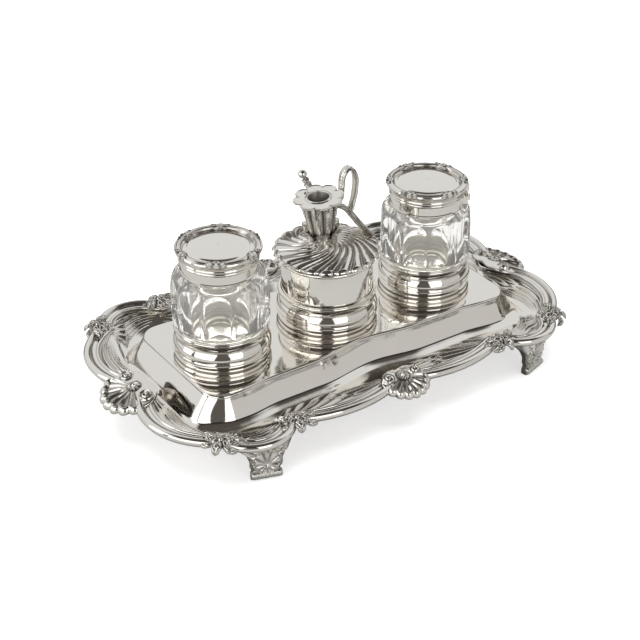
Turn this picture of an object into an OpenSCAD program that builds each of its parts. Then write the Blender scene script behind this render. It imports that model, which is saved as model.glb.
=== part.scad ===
// Desk inkstand: a footed tray with a raised deck, two cut-glass ink
// bottles with hinged lids, and a wafer box whose cover is a taperstick.
// Origin: on the table, under the middle of the tray. +X runs along the
// bottles, -Y is the front. Lengths are in millimetres, angles in degrees.

/* [Tray] */
// Half length to the notch in the middle of each end
end_notch_x = 150; // [146:1:156]
// Half length at the corner notch beside the end
corner_notch_x = 137; // [134:1:140]
// Half width at the corner notch beside the end
corner_notch_y = 83; // [80:1:86]
// Half length at the corner notch beside the long side
side_notch_x = 84; // [80:1:88]
// Half width at the corner notch beside the long side
side_notch_y = 89; // [87:1:92]
// Half width to the notch in the middle of each long side
front_notch_y = 89; // [87:1:92]
// How far an end lobe swells out past its notches
end_bulge = 21; // [15:1:24]
// How far a corner lobe swells out past its notches
corner_bulge = 17; // [12:1:20]
// How far a side lobe swells out past its notches
side_bulge = 10; // [7:1:12]
// Thickness of the tray sheet
sheet = 1.3; // [0.8:0.1:2]
// Width of the reeded border
border_w = 12; // [10:0.5:14]
// Height of the border's bead over the tray sheet's edge
border_h = 5.5; // [4:0.5:7]

/* [Deck] */
// Length of the raised deck
deck_len = 246; // [236:1:252]
// Width of the raised deck at its ends
deck_wid = 103; // [98:1:108]
// Radius of the deck's corners
deck_corner = 14; // [10:1:18]
// How far the deck narrows between its ends and its sides
deck_swell = 2.8; // [0:0.2:4]
// How far the deck's waist is drawn in at the middle
deck_waist = 5.2; // [0:0.2:8]
// Height of the deck over the table
deck_z = 38; // [34:1:42]
// Height of the deck over the pen well's floor
deck_rise = 18; // [14:1:20]
// How far the deck's side sweeps out at its foot
deck_flare = 13; // [11:0.5:14]
// Drop from the deck to the top of the border
border_drop = 6.4; // [4:0.2:8]

/* [Galleries] */
// Distance from each bottle's middle to the platform's end
end_gap = 38; // [35:1:43]
// Height of the moulded galleries
gallery_h = 22.4; // [18:0.2:26]
// Wall of a gallery at its top
gallery_wall = 1.5; // [1:0.1:2.5]
// Play around a bottle or the box in its gallery
gallery_play = 0.3; // [0.2:0.1:0.6]
// Gap under a piece that stands on the deck
seat_gap = 0.2; // [0.1:0.1:0.5]

/* [Bottles] */
// Radius of the glass foot inside the gallery
glass_foot_r = 29.4; // [27:0.2:30]
// Radius of the glass body
glass_r = 32.8; // [31:0.2:34]
// Height of the glass shoulder over the deck
shoulder_h = 61.4; // [58:0.2:66]
// Radius of the glass neck
neck_r = 23.6; // [21:0.2:25]
// Radius of the ink well inside the glass
well_r = 20.5; // [16:0.5:23]
// Radius of the mouth of the ink well
mouth_r = 17; // [13:0.5:19]
// Thickness of the glass under the ink well
glass_base = 9; // [5:0.5:14]
// Number of arched panels cut around a bottle
panels = 10; // [8:1:12]
// Width of one arched panel
panel_w = 17; // [12:0.5:18]
// Depth of a panel at its middle
panel_deep = 1.8; // [1:0.1:2.4]
// Direction of the left bottle's hinge
left_turn = 56; // [-180:1:180]
// Direction of the right bottle's hinge
right_turn = -34; // [-180:1:180]

/* [Collars and lids] */
// Wall of the silver collar around the glass neck
collar_wall = 1.6; // [1.2:0.1:2]
// Height of the collar
collar_h = 7.2; // [6:0.2:9]
// Gap between the collar and the closed lid
lid_gap = 0.4; // [0.3:0.1:0.8]
// Height of a lid from its band to its crown
lid_h = 10.8; // [9:0.2:13]
// How far the lobed edge stands out past the collar
lid_over = 3.4; // [2.6:0.2:4]
// Number of cast shells around a lid's edge
lid_shells = 6; // [4:1:8]
// Radius of the hinge pin
pin_r = 0.8; // [0.6:0.1:1]
// Wall of the hinge knuckles around the pin
knuckle_wall = 1; // [0.8:0.1:1.4]
// Radial play of the pin in the lid's knuckle
pin_play = 0.05; // [0.03:0.01:0.09]
// Width of each hinge knuckle
knuckle_w = 4; // [3:0.5:5]

/* [Wafer box] */
// Outer radius of the box
box_r = 31.6; // [30:0.2:33]
// Height of the box
box_h = 46.8; // [42:0.2:52]
// Wall of the box
box_wall_t = 1.2; // [0.8:0.1:2]
// Radius of the wire around the box's rim
rim_wire_r = 1.5; // [1:0.1:2]

/* [Taperstick] */
// Radius of the shell-shaped cover
cover_r = 37.6; // [36:0.2:39]
// Rise of the cover from its edge to the stem
cover_rise = 8.6; // [6:0.2:11]
// Number of spiral flutes on the cover
flutes = 20; // [16:1:24]
// Height of the flutes at the cover's edge
flute_h = 1.4; // [0.6:0.1:1.8]
// Turn of the flutes on their way out
flute_turn = 60; // [40:5:90]
// Height of the lobed stem
stem_h = 33.5; // [28:0.5:38]
// Radius of the stem at its foot
stem_r = 7.8; // [7:0.2:9]
// Radius of the stem under the drip pan
stem_top_r = 13.4; // [12.6:0.2:15]
// How far the stem stands to the left of the box's middle
stem_shift = 3.6; // [0:0.2:5]
// Lean of the stem to the left
stem_lean = 5.5; // [0:0.5:7]
// Radius of the hole that holds the taper
taper_r = 7.25; // [6:0.05:7.6]
// Depth of the hole that holds the taper
taper_deep = 16; // [12:0.5:18]
// Wall of the nozzle
nozzle_wall = 0.9; // [0.6:0.1:1.2]
// Play of the nozzle in the stem
nozzle_play = 0.08; // [0.05:0.01:0.1]
// Radius of the drip pan to its petal tips
pan_r = 17.6; // [16:0.2:18]

/* [Handle and extinguisher] */
// Thickness of the handle's strap
strap_t = 2.8; // [2:0.2:3.4]
// Width of the handle's strap
strap_w = 5; // [4:0.2:6.4]
// Height of the extinguisher's cone
cone_h = 31; // [27:0.5:34]
// Radius of the cone at its mouth
cone_r = 8.2; // [7:0.1:8.4]
// Lean of the extinguisher on its spike
cone_lean = 26; // [20:1:30]
// Radius of the ball on the extinguisher
ball_r = 2.9; // [2.4:0.1:3.4]

/* [Feet] */
// Distance of the feet outside the line between the notches
foot_out = 7; // [5:1:9]
// Outward turn of each foot
foot_turn = 18; // [0:1:30]
// Width of a foot at its top
foot_w = 42; // [36:1:44]
// Width of a foot at its toe
toe_w = 22; // [19:1:25]

/* [Hidden] */
$fn = 64;

silver = [0.78, 0.77, 0.74];
old_silver = [0.55, 0.53, 0.50];
crystal = [0.85, 0.90, 0.92, 0.45];

// Points on each stretch of a quarter of the tray's outline
end_steps = 12;
corner_steps = 8;
side_steps = 12;

pitch = deck_len / 2 - end_gap;
foot_x = (corner_notch_x + side_notch_x) / 2;
foot_y = (corner_notch_y + side_notch_y) / 2 + foot_out;
well_z = deck_z - deck_rise;
border_top_z = deck_z - border_drop;
border_base_z = border_top_z - border_h;
gallery_r = glass_foot_r + gallery_play;
box_gallery_r = box_r + gallery_play;

collar_r = neck_r + collar_wall;
collar_top = shoulder_h + 0.2 + collar_h;
lid_z = collar_top + lid_gap;
lid_top = lid_z + lid_h;
lid_band_r = collar_r + 1.4;
lid_edge_r = collar_r + lid_over;
knuckle_r = pin_r + knuckle_wall;
hinge_x = lid_band_r + knuckle_r + 0.4;
hinge_z = lid_z - knuckle_r - 0.1;

cover_edge_z = deck_z + box_h + 2.6;
cover_sheet = 1.2;
stem_foot_r = stem_r - 0.4;
stem_z = cover_edge_z + cover_rise - 1.4;
nozzle_r = taper_r + nozzle_wall;
pan_t = 1.2;
nozzle_floor = 1.2;
nozzle_top = stem_h + seat_gap + pan_t;
nozzle_low = nozzle_top - taper_deep - nozzle_floor;
cone_x = 15.8;
cone_y = 26;
cone_z = cover_edge_z + 10;
cone_wall = 0.8;
cone_tip_r = 2.2;

function smooth(u) = let (c = max(0, min(1, u))) c * c * (3 - 2 * c);
function mix(a, b, u) = a + (b - a) * u;

// Arc from a to b that swells by s to the right of the way from a to b
function arc(a, b, s, n) =
  let (d = b - a, l = norm(d), out = [d[1], -d[0]] / l,
       r = (l * l / 4 + s * s) / (2 * s),
       c = (a + b) / 2 - out * (r - s),
       t0 = atan2(a[1] - c[1], a[0] - c[0]),
       turn = 2 * asin(l / 2 / r))
  [for (i = [0:n - 1]) c + r * [cos(t0 + turn * i / n), sin(t0 + turn * i / n)]];

// A quarter from the +X axis to the +Y axis, mirrored into a whole outline
function whole(q, last) =
  let (n = len(q), all = concat(q, [last]))
  concat(all,
         [for (i = [n - 1:-1:1]) [-all[i][0], all[i][1]]],
         [for (i = [0:n]) [-all[i][0], -all[i][1]]],
         [for (i = [n - 1:-1:1]) [all[i][0], -all[i][1]]]);

// The tray's outer edge, lobed between its notches
function tray_outline() =
  let (e = [end_notch_x, 0], a = [corner_notch_x, corner_notch_y],
       b = [side_notch_x, side_notch_y], f = [0, front_notch_y])
  whole(concat(arc(e, a, end_bulge, end_steps), arc(a, b, corner_bulge, corner_steps),
               arc(b, f, side_bulge, side_steps)), f);

// Half width of the deck at x: swollen at the ends, drawn in at the waist
function deck_half(x) =
  deck_wid / 2 - deck_swell * (1 - smooth((x - deck_len * 0.31) / (deck_len * 0.11)))
  - deck_waist * (1 - smooth(x / (deck_len * 0.17)));

// The deck's top edge, point for point beside the tray's outline
function deck_outline() =
  let (hx = deck_len / 2, hy = deck_wid / 2, r = deck_corner)
  whole(concat(
    [for (i = [0:end_steps - 1]) [hx, (hy - r) * i / end_steps]],
    [for (i = [0:corner_steps - 1]) [hx - r + r * cos(90 * i / corner_steps),
                                     hy - r + r * sin(90 * i / corner_steps)]],
    [for (i = [0:side_steps - 1]) let (x = (hx - r) * (1 - i / side_steps)) [x, deck_half(x)]]),
    [0, deck_half(0)]);

// A closed outline moved outwards by d along its own normals, at height z
function ring(p, d, z) =
  let (n = len(p))
  [for (i = [0:n - 1])
    let (q = p[(i + 1) % n] - p[(i + n - 1) % n], out = [q[1], -q[0]] / norm(q))
    [p[i][0] + out[0] * d, p[i][1] + out[1] * d, z]];

function middle(p) = let (ones = [for (q = p) 1]) ones * p / len(p);
function between(a, b, u, z) = [for (i = [0:len(a) - 1]) [mix(a[i][0], b[i][0], u), mix(a[i][1], b[i][1], u), z]];

// A solid from rings that run outwards below, up, and inwards above.
// With loop true the last ring joins the first, otherwise a fan of
// triangles from its middle closes each end.
module loft(rings, loop = false) {
  n = len(rings[0]);
  m = len(rings);
  last = loop ? m - 1 : m - 2;
  sides = [for (k = [0:last], i = [0:n - 1])
    let (a = k * n, b = ((k + 1) % m) * n, j = (i + 1) % n)
    each [[a + i, b + i, b + j], [a + i, b + j, a + j]]];
  fans = loop ? [] : [for (i = [0:n - 1]) let (j = (i + 1) % n)
    each [[m * n, i, j], [m * n + 1, (m - 1) * n + j, (m - 1) * n + i]]];
  middles = loop ? [] : [middle(rings[0]), middle(rings[m - 1])];
  polyhedron(concat([for (r = rings) each r], middles), concat(sides, fans), convexity = 6);
}

// A strap or rod along points in the XZ plane, half_w across and half_t thick
module strap(path, half_w, half_t, sides = 10) {
  n = len(path);
  rings = [for (k = [0:n - 1])
    let (q = path[min(k + 1, n - 1)] - path[max(k - 1, 0)], u = q / norm(q))
    [for (i = [0:sides - 1]) let (t = -360 * i / sides)
      [path[k][0] - u[1] * half_t[k] * cos(t), half_w[k] * sin(t), path[k][1] + u[0] * half_t[k] * cos(t)]]];
  loft(rings);
}

module around(count, from = 0) {
  for (i = [0:count - 1]) rotate(from + 360 * i / count) children();
}

module at_bottle(side) {
  translate([side * pitch, 0, deck_z]) rotate(side < 0 ? left_turn : right_turn) children();
}

// ---- Tray -------------------------------------------------------------
module tray_well() {
  rim = tray_outline();
  deck = deck_outline();
  foot = ring(deck, deck_flare, 0);
  lip = ring(rim, 3 - border_w, 0);
  lip_z = border_base_z + sheet + 0.4;
  steps = 4;
  color(silver) loft(concat(
    [for (i = [0:steps]) let (u = i / steps) between(foot, lip, u, mix(well_z, lip_z, smooth(u)) - sheet)],
    [for (i = [steps:-1:0]) let (u = i / steps) between(foot, lip, u, mix(well_z, lip_z, smooth(u)))]));
}

module platform() {
  deck = deck_outline();
  // Out from the deck's edge, and down from its top, as shares of flare and rise
  face = [[1, 1], [0.5, 0.87], [0.21, 0.61], [0.05, 0.31], [0, 0.08]];
  t = sheet;
  color(silver) loft(concat(
    [ring(deck, -2 * t, deck_z - t)],
    [for (i = [3:-2:1]) ring(deck, deck_flare * face[i][0] - t, deck_z - deck_rise * face[i][1] - t / 2)],
    [ring(deck, deck_flare - 2 * t, well_z)],
    [for (f = face) ring(deck, deck_flare * f[0], deck_z - deck_rise * f[1])],
    [ring(deck, -1.2, deck_z)]));
}

module border_moulding() {
  rim = tray_outline();
  // In from the outer edge, and up from the base, as shares of width and height
  section = [[0.10, 0], [0, 0.5], [0.12, 0.96], [0.28, 1], [0.44, 0.66], [0.56, 0.84], [0.68, 0.62],
             [0.80, 0.70], [1, 0.44], [0.95, 0.1]];
  color(silver) loft([for (s = section) ring(rim, -border_w * s[0], border_base_z + border_h * s[1])], loop = true);
}

// Cast shell hanging over the border's edge: a fan of lobes with a rib to
// each, a knob at its root and a swelling to each side
shell_lobes = 7;
shell_spread = 140;
fan_angles = [for (i = [0:6 * shell_lobes - 1]) shell_spread * (i / (6 * shell_lobes) - 0.5)];
root_angles = [for (i = [0:21]) shell_spread / 2 + (360 - shell_spread) * i / 22];

function lobe_at(t) = abs(t) < shell_spread / 2 ? abs(sin(180 * shell_lobes * (t / shell_spread + 0.5))) : 0;
function shell_edge(t, reach) =
  abs(t) <= shell_spread / 2 ? reach * (0.88 + 0.12 * lobe_at(t))
  : reach * (0.42 + 0.46 * pow(abs(cos(180 * (t - shell_spread / 2) / (360 - shell_spread))), 1.5));
function shell_height(rho, u, t) = 1 + 1.4 * (1 - u * u) + 0.9 * u * lobe_at(t) + 4 * exp(-rho * rho / 11);
function shell_ring(u, reach, drop) =
  [for (t = concat(fan_angles, root_angles)) let (rho = u * shell_edge(t, reach))
    [rho * cos(t), rho * sin(t), drop ? -1.2 : shell_height(rho, u, t)]];

module fan_shell(reach) {
  droop = 14;
  translate([0, 0, border_h * 0.6]) rotate([0, droop, 0]) loft(concat(
    [for (u = [0.3, 1]) shell_ring(u, reach, true)],
    [for (u = [1, 0.84, 0.6, 0.36, 0.14]) shell_ring(u, reach, false)]));
}

shell_reach = 24;
module end_shell(side) {
  color(old_silver) translate([side * (end_notch_x + 2), 0, border_base_z + 1]) rotate(side > 0 ? 0 : 180) fan_shell(shell_reach);
}
module long_side_shell(side) {
  color(old_silver) translate([0, side * (front_notch_y - 1), border_base_z + 1]) rotate(90 * side) fan_shell(shell_reach - 5);
}

// Five-petalled flower with a bud outside it and a leaf to each side
module leaf_cluster() {
  petal_r = 2.5;
  translate([0, 0, border_h * 0.75]) {
    sphere(r = 2.2, $fn = 8);
    around(5) translate([3.6, 0, -0.4]) sphere(r = petal_r, $fn = 7);
  }
  translate([7.2, 0, border_h * 0.2]) sphere(r = 2.8, $fn = 8);
  for (s = [-1, 1]) hull() {
    translate([1, s * 3, border_h * 0.4]) sphere(r = 2.4, $fn = 7);
    translate([-3, s * 12, border_h * 0.55]) sphere(r = 1.2, $fn = 6);
  }
}

module at_corners(x, y, heading) {
  for (sx = [-1, 1], sy = [-1, 1])
    translate([sx * x, sy * y, border_base_z]) rotate(atan2(sy * sin(heading), sx * cos(heading))) children();
}

module end_leaf_clusters() {
  color(old_silver) at_corners(corner_notch_x - 1, corner_notch_y - 0.5, 35) leaf_cluster();
}
module side_leaf_clusters() {
  color(old_silver) at_corners(side_notch_x, side_notch_y, 75) leaf_cluster();
}

// Cast bracket foot: a rolled toe, a medallion with a shell's knobs on its
// face, and a head that spreads under the border and keeps inside its edge
foot_deep = 9;
toe_deep = 6;
toe_roll_r = 3;
knob_r = 1.9;
foot_inset = 1.5;
module cast_foot(sx, sy) {
  head_z = border_base_z + 0.6;
  waist_z = head_z * 0.62;
  face_z = head_z * 0.54;
  head_t = head_z * 0.08;
  color(old_silver) intersection() {
    linear_extrude(height = 2 * head_z) polygon([for (p = ring(tray_outline(), -foot_inset, 0)) [p[0], p[1]]]);
    translate([sx * foot_x, sy * foot_y, 0]) rotate(atan2(sy, 0) + 90 + sx * -sy * foot_turn) {
      hull() {
        translate([-foot_w / 2, -foot_deep - 2, head_z - head_t]) cube([foot_w, 1.7 * foot_deep, head_t]);
        translate([-toe_w / 2, -toe_deep / 2, waist_z]) cube([toe_w, toe_deep, 2]);
      }
      hull() {
        translate([-toe_w * 0.52, -toe_deep / 2, waist_z]) cube([toe_w * 1.04, toe_deep, 2]);
        translate([-toe_w * 0.44, -toe_deep / 2, 0]) cube([toe_w * 0.88, toe_deep, 3]);
      }
      translate([-toe_w / 2, -toe_deep / 2, toe_roll_r - 0.4]) rotate([0, 90, 0]) cylinder(r = toe_roll_r, h = toe_w);
      translate([0, -1, face_z]) rotate([90, 0, 0]) cylinder(r = toe_w * 0.42, h = toe_deep * 0.7);
      translate([0, -toe_deep * 0.8, face_z]) rotate([90, 0, 0]) for (i = [0:6]) rotate(-30 + 40 * i)
        translate([toe_w * 0.34, 0, 0]) sphere(r = knob_r, $fn = 24);
      for (s = [-1, 1]) translate([s * (foot_w / 2 - 6), -foot_deep / 2, head_z - 4]) rotate([90, 0, 0])
        cylinder(r = 3.8, h = foot_deep * 0.4);
    }
  }
}

// ---- Galleries --------------------------------------------------------
// Moulded ring socket; the section is the same around a bottle or the box
module gallery(inner) {
  w = gallery_wall;
  h = gallery_h;
  color(silver) rotate_extrude() polygon([
    [inner, 0], [inner + w + 1.3, 0], [inner + w + 1.7, h * 0.06], [inner + w + 1.7, h * 0.17], [inner + w + 1.2, h * 0.23],
    [inner + w + 0.3, h * 0.25], [inner + w + 1.3, h * 0.31], [inner + w + 1.6, h * 0.38], [inner + w + 1.3, h * 0.46],
    [inner + w + 0.3, h * 0.53], [inner + w, h * 0.6], [inner + w - 0.6, h * 0.66], [inner + w - 0.6, h * 0.74],
    [inner + w, h * 0.8], [inner + w + 0.2, h * 0.84], [inner + w + 0.3, h * 0.92], [inner + w - 0.3, h], [inner, h]]);
}

// ---- Ink bottles ------------------------------------------------------
// One arched panel as a cutter that leaves a flat this far from the axis
module panel_cut() {
  flat_r = glass_r - panel_deep;
  low = gallery_h + 4.2;
  spring = shoulder_h - 3.4 - panel_w / 2;
  translate([flat_r, 0, 0]) rotate([90, 0, 90]) linear_extrude(height = panel_deep + 2) {
    translate([-panel_w / 2, low]) square([panel_w, spring - low]);
    translate([0, spring]) circle(d = panel_w);
  }
}

module bottle_glass() {
  foot = gallery_h + 0.8;
  s = shoulder_h;
  color(crystal) difference() {
    rotate_extrude() polygon([
      [0, seat_gap], [glass_foot_r, seat_gap], [glass_foot_r, foot], [glass_r - 1.4, foot + 0.8],
      [glass_r - 0.4, foot + 2.8], [glass_r, foot + 8], [glass_r, s - 16], [glass_r - 0.4, s - 10],
      [glass_r - 1.2, s - 5.4], [glass_r - 2.6, s - 2.4], [glass_r - 5.4, s - 0.4], [glass_r - 7, s],
      [neck_r, s], [neck_r, collar_top + 0.8], [mouth_r, collar_top + 0.8],
      [mouth_r, s - 3], [well_r, s - 8], [well_r, glass_base + 3], [well_r - 3, glass_base], [0, glass_base]]);
    around(panels) panel_cut();
  }
}

// Collar around the neck, with two knuckles that hold the hinge pin
module collar() {
  z0 = shoulder_h + 0.2;
  inner = neck_r + 0.05;
  color(silver) {
    rotate_extrude() polygon([
      [inner, z0], [collar_r + 0.5, z0], [collar_r + 0.5, z0 + 0.8], [collar_r, z0 + 1.2],
      [collar_r, collar_top - 0.4], [collar_r - 0.4, collar_top], [inner, collar_top]]);
    for (s = [-1, 1]) translate([0, s * (knuckle_w + 0.2), 0]) difference() {
      union() {
        translate([collar_r - 1, -knuckle_w / 2, hinge_z - 4.5])
          cube([hinge_x - collar_r + 1, knuckle_w, 4.5]);
        translate([hinge_x, knuckle_w / 2, hinge_z]) rotate([90, 0, 0]) cylinder(r = knuckle_r, h = knuckle_w);
      }
      translate([hinge_x, knuckle_w / 2 + 1, hinge_z]) rotate([90, 0, 0]) cylinder(r = pin_r, h = knuckle_w + 2);
      translate([0, 0, z0 - 10]) cylinder(r = inner, h = 30);
    }
  }
}

module hinge_pin() {
  l = 3 * knuckle_w + 0.4;
  color(silver) translate([hinge_x, l / 2, hinge_z]) rotate([90, 0, 0]) cylinder(r = pin_r, h = l);
}

// Lid: reeded band, groove and slightly domed crown, hollow below
module lid() {
  b = lid_band_r;
  h = lid_h;
  color(silver) translate([0, 0, lid_z]) rotate_extrude() polygon([
    [b - 1.4, 0], [b - 0.5, 0], [b, h * 0.08], [b - 0.5, h * 0.17], [b, h * 0.26], [b - 0.3, h * 0.36],
    [b + 0.3, h * 0.45], [b + 1, h * 0.56], [b + 1, h * 0.9], [b - 0.6, h * 0.97], [b - 2.2, h * 0.9],
    [b - 3.6, h * 0.88], [b / 2, h * 0.97], [0, h], [0, h - 1.2], [b / 2, h * 0.97 - 1.2], [b - 3, h * 0.72],
    [b - 1.4, h * 0.6]]);
}

// Lobed edge between the cast shells, and the shells on it
module lid_border() {
  r = lid_edge_r;
  lobe = r * 0.62;
  z = lid_z + lid_h * 0.66;
  color(silver) {
    translate([0, 0, z]) linear_extrude(height = lid_h * 0.2) difference() {
      around(lid_shells, 180 / lid_shells) translate([r - lobe, 0]) circle(r = lobe);
      circle(r = lid_band_r + 1);
    }
    translate([0, 0, z + lid_h * 0.22]) around(lid_shells) {
      translate([r - 1.3, 0, 0]) sphere(r = 1.5, $fn = 32);
      for (s = [-1, 1]) translate([r - 1.9, s * 2.4, 0]) sphere(r = 1.1, $fn = 32);
    }
  }
}

// The lid's own knuckle, with a leaf up to the band
module lid_knuckle() {
  w = knuckle_w;
  color(silver) difference() {
    union() {
      translate([hinge_x, w / 2, hinge_z]) rotate([90, 0, 0]) cylinder(r = knuckle_r, h = w);
      translate([hinge_x - knuckle_r * 0.7, -w / 2, hinge_z]) cube([knuckle_r * 1.3, w, lid_z + lid_h * 0.66 - hinge_z]);
    }
    translate([hinge_x, w / 2 + 1, hinge_z]) rotate([90, 0, 0]) cylinder(r = pin_r + pin_play, h = w + 2);
  }
}

// ---- Wafer box --------------------------------------------------------
module box_wall() {
  color(silver) translate([0, 0, deck_z + seat_gap + box_wall_t]) difference() {
    cylinder(r = box_r, h = box_h - seat_gap - box_wall_t);
    translate([0, 0, -1]) cylinder(r = box_r - box_wall_t, h = box_h);
  }
}
module box_base() {
  color(silver) translate([0, 0, deck_z + seat_gap]) cylinder(r = box_r, h = box_wall_t);
}
module box_rim_wire() {
  color(silver) translate([0, 0, deck_z + box_h - rim_wire_r]) rotate_extrude() difference() {
    translate([box_r, 0]) circle(r = rim_wire_r, $fn = 32);
    translate([0, -5]) square([box_r, 10]);
  }
}

// ---- Taperstick -------------------------------------------------------
cover_sides = 6 * flutes;
cover_rows = 5;

// Top of the cover at share u of the way from the stem to the edge
function cover_row(u, drop) =
  let (r0 = stem_foot_r, r = mix(r0, cover_r, u),
       z = cover_edge_z + cover_rise * (1 - pow((r - r0) / (cover_r - r0), 1.5)) - drop)
  [for (i = [0:cover_sides - 1])
    let (t = 360 * i / cover_sides, wave = cos(flutes * t), edge = r + 0.7 * u * wave,
         a = t - flute_turn * smooth(u))
    [edge * cos(a), edge * sin(a), z + flute_h * smooth(u * 2) * wave]];

module cover_shell() {
  color(silver) loft(concat(
    [for (i = [0:cover_rows]) cover_row(i / cover_rows, cover_sheet)],
    [for (i = [cover_rows:-1:0]) cover_row(i / cover_rows, 0)]));
}

// Ring under the cover that drops inside the box
module cover_bezel() {
  outer = box_r - box_wall_t - gallery_play;
  z0 = deck_z + box_h - 3;
  top = cover_edge_z + cover_sheet + 0.6;
  color(silver) translate([0, 0, z0]) difference() {
    cylinder(r = outer, h = top - z0);
    translate([0, 0, -1]) cylinder(r = outer - 1.2, h = top - z0 + 2);
  }
}

module at_stem() {
  translate([-stem_shift, 0, stem_z]) rotate([0, -stem_lean, 0]) children();
}

stem_lobes = 8;
function stem_ring(u) =
  let (r = mix(stem_r, stem_top_r, smooth(u * 0.9) * 0.55 + u * 0.45), deep = 0.07 + 0.03 * u)
  [for (i = [0:63]) let (t = 360 * i / 64, w = r * (1 - deep * (1 - cos(stem_lobes * t)) / 2))
    [w * cos(t), w * sin(t), stem_h * u]];

module stem() {
  color(silver) at_stem() difference() {
    loft([for (i = [0:8]) stem_ring(i / 8)]);
    translate([0, 0, nozzle_low - seat_gap]) cylinder(r = nozzle_r + nozzle_play, h = taper_deep + 5);
    rotate(-62) translate([taper_r, -1.6, stem_h * 0.66]) cube([stem_top_r, 3.2, 6.5]);
  }
}

module calyx_leaves() {
  color(old_silver) at_stem() around(6, 30) hull() {
    translate([stem_r - 0.2, 0, 0.5]) sphere(r = 2, $fn = 8);
    translate([stem_r + 1.6, 0, 7.5]) sphere(r = 0.9, $fn = 8);
  }
}

// Nozzle: a plain tube with a floor, and a petalled drip pan on top
module nozzle_tube() {
  color(silver) at_stem() translate([0, 0, nozzle_low]) difference() {
    cylinder(r = nozzle_r, h = nozzle_top - nozzle_low);
    translate([0, 0, nozzle_floor]) cylinder(r = taper_r, h = taper_deep + 2);
  }
}
module drip_pan() {
  petals = 8;
  petal_r = pan_r * 0.4;
  color(silver) at_stem() translate([0, 0, nozzle_top - pan_t]) linear_extrude(height = pan_t) difference() {
    union() {
      circle(r = pan_r * 0.78);
      around(petals, 180 / petals) translate([pan_r - petal_r, 0]) circle(r = petal_r);
    }
    circle(r = nozzle_r);
  }
}

// Ring handle: x from the box's middle, z over the cover's edge
handle_path = [[4, 31], [8.5, 33.2], [11.2, 37.5], [11.7, 43.5], [12, 49], [13.4, 53.8], [16.8, 56.4], [20.6, 54.4],
               [22.9, 49], [23.2, 43], [22.4, 36], [20.8, 29.5], [18.9, 23.3]];
leaf_path = [[3, 33], [9, 31.5], [15, 27.6], [21, 20.5], [27, 12.5], [32, 6.5], [36, 2.6]];

module ring_handle() {
  n = len(handle_path);
  color(old_silver) translate([0, 0, cover_edge_z]) strap(handle_path,
    [for (i = [0:n - 1]) strap_w / 2 * (1 + 0.25 * sin(180 * i / (n - 1)))],
    [for (i = [0:n - 1]) strap_t / 2]);
}
module handle_leaf() {
  n = len(leaf_path);
  color(old_silver) translate([0, 0, cover_edge_z]) strap(leaf_path,
    [for (i = [0:n - 1]) strap_w / 2 * (1 + 0.5 * smooth(i / (n - 1)))],
    [for (i = [0:n - 1]) strap_t / 2 * (1 - 0.3 * i / (n - 1))]);
}

module at_cone() {
  translate([cone_x, cone_y, cone_z]) rotate([0, -cone_lean, 0]) children();
}
module extinguisher_spike() {
  reach = cone_h * 0.84;
  color(silver) at_cone() translate([0, 0, -7.5])
    cylinder(r1 = 2.8, r2 = mix(cone_r - cone_wall, cone_tip_r - cone_wall, 0.9) - 0.4, h = reach + 7.5);
}
module extinguisher_cone() {
  color(silver) at_cone() rotate_extrude() polygon([
    [cone_r - cone_wall, 0], [cone_r + 0.2, 0], [cone_r + 0.2, 1.2], [cone_r - 0.2, 1.4], [cone_tip_r, cone_h],
    [0, cone_h], [0, cone_h - 1.2], [cone_tip_r - cone_wall, cone_h - 1.2]]);
}
module extinguisher_finial() {
  color(silver) at_cone() translate([0, 0, cone_h]) rotate_extrude() polygon(concat(
    [[0, 0], [cone_tip_r + 0.6, 0], [cone_tip_r + 0.6, 0.9], [1.3, 1.9], [1.3, 3.2], [2.1, 4.2], [2.1, 4.9], [1.1, 5.9],
     [1.1, 7.4]],
    [for (a = [-65:13:90]) [ball_r * cos(a), 7.4 + ball_r + ball_r * sin(a)]]));
}

// ---- Output -----------------------------------------------------------
tray_well();
platform();
border_moulding();
long_side_shell(-1);  // front_shell
long_side_shell(1);  // back_shell
end_shell(-1);  // left_shell
end_shell(1);  // right_shell
end_leaf_clusters();
side_leaf_clusters();
cast_foot(-1, -1);  // foot_front_left
cast_foot(1, -1);  // foot_front_right
cast_foot(-1, 1);  // foot_back_left
cast_foot(1, 1);  // foot_back_right
translate([-pitch, 0, deck_z]) gallery(gallery_r);  // left_gallery
translate([pitch, 0, deck_z]) gallery(gallery_r);  // right_gallery
translate([0, 0, deck_z]) gallery(box_gallery_r);  // centre_gallery
at_bottle(-1) bottle_glass();  // left_glass
at_bottle(-1) collar();  // left_collar
at_bottle(-1) hinge_pin();  // left_hinge_pin
at_bottle(-1) lid();  // left_lid
at_bottle(-1) lid_border();  // left_lid_border
at_bottle(-1) lid_knuckle();  // left_lid_knuckle
at_bottle(1) bottle_glass();  // right_glass
at_bottle(1) collar();  // right_collar
at_bottle(1) hinge_pin();  // right_hinge_pin
at_bottle(1) lid();  // right_lid
at_bottle(1) lid_border();  // right_lid_border
at_bottle(1) lid_knuckle();  // right_lid_knuckle
box_wall();
box_base();
box_rim_wire();
cover_shell();
cover_bezel();
stem();
calyx_leaves();
ring_handle();
handle_leaf();
extinguisher_spike();
nozzle_tube();
drip_pan();
extinguisher_cone();
extinguisher_finial();
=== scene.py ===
import math

import bpy
import numpy as np
from mathutils import Matrix, Vector


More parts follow.
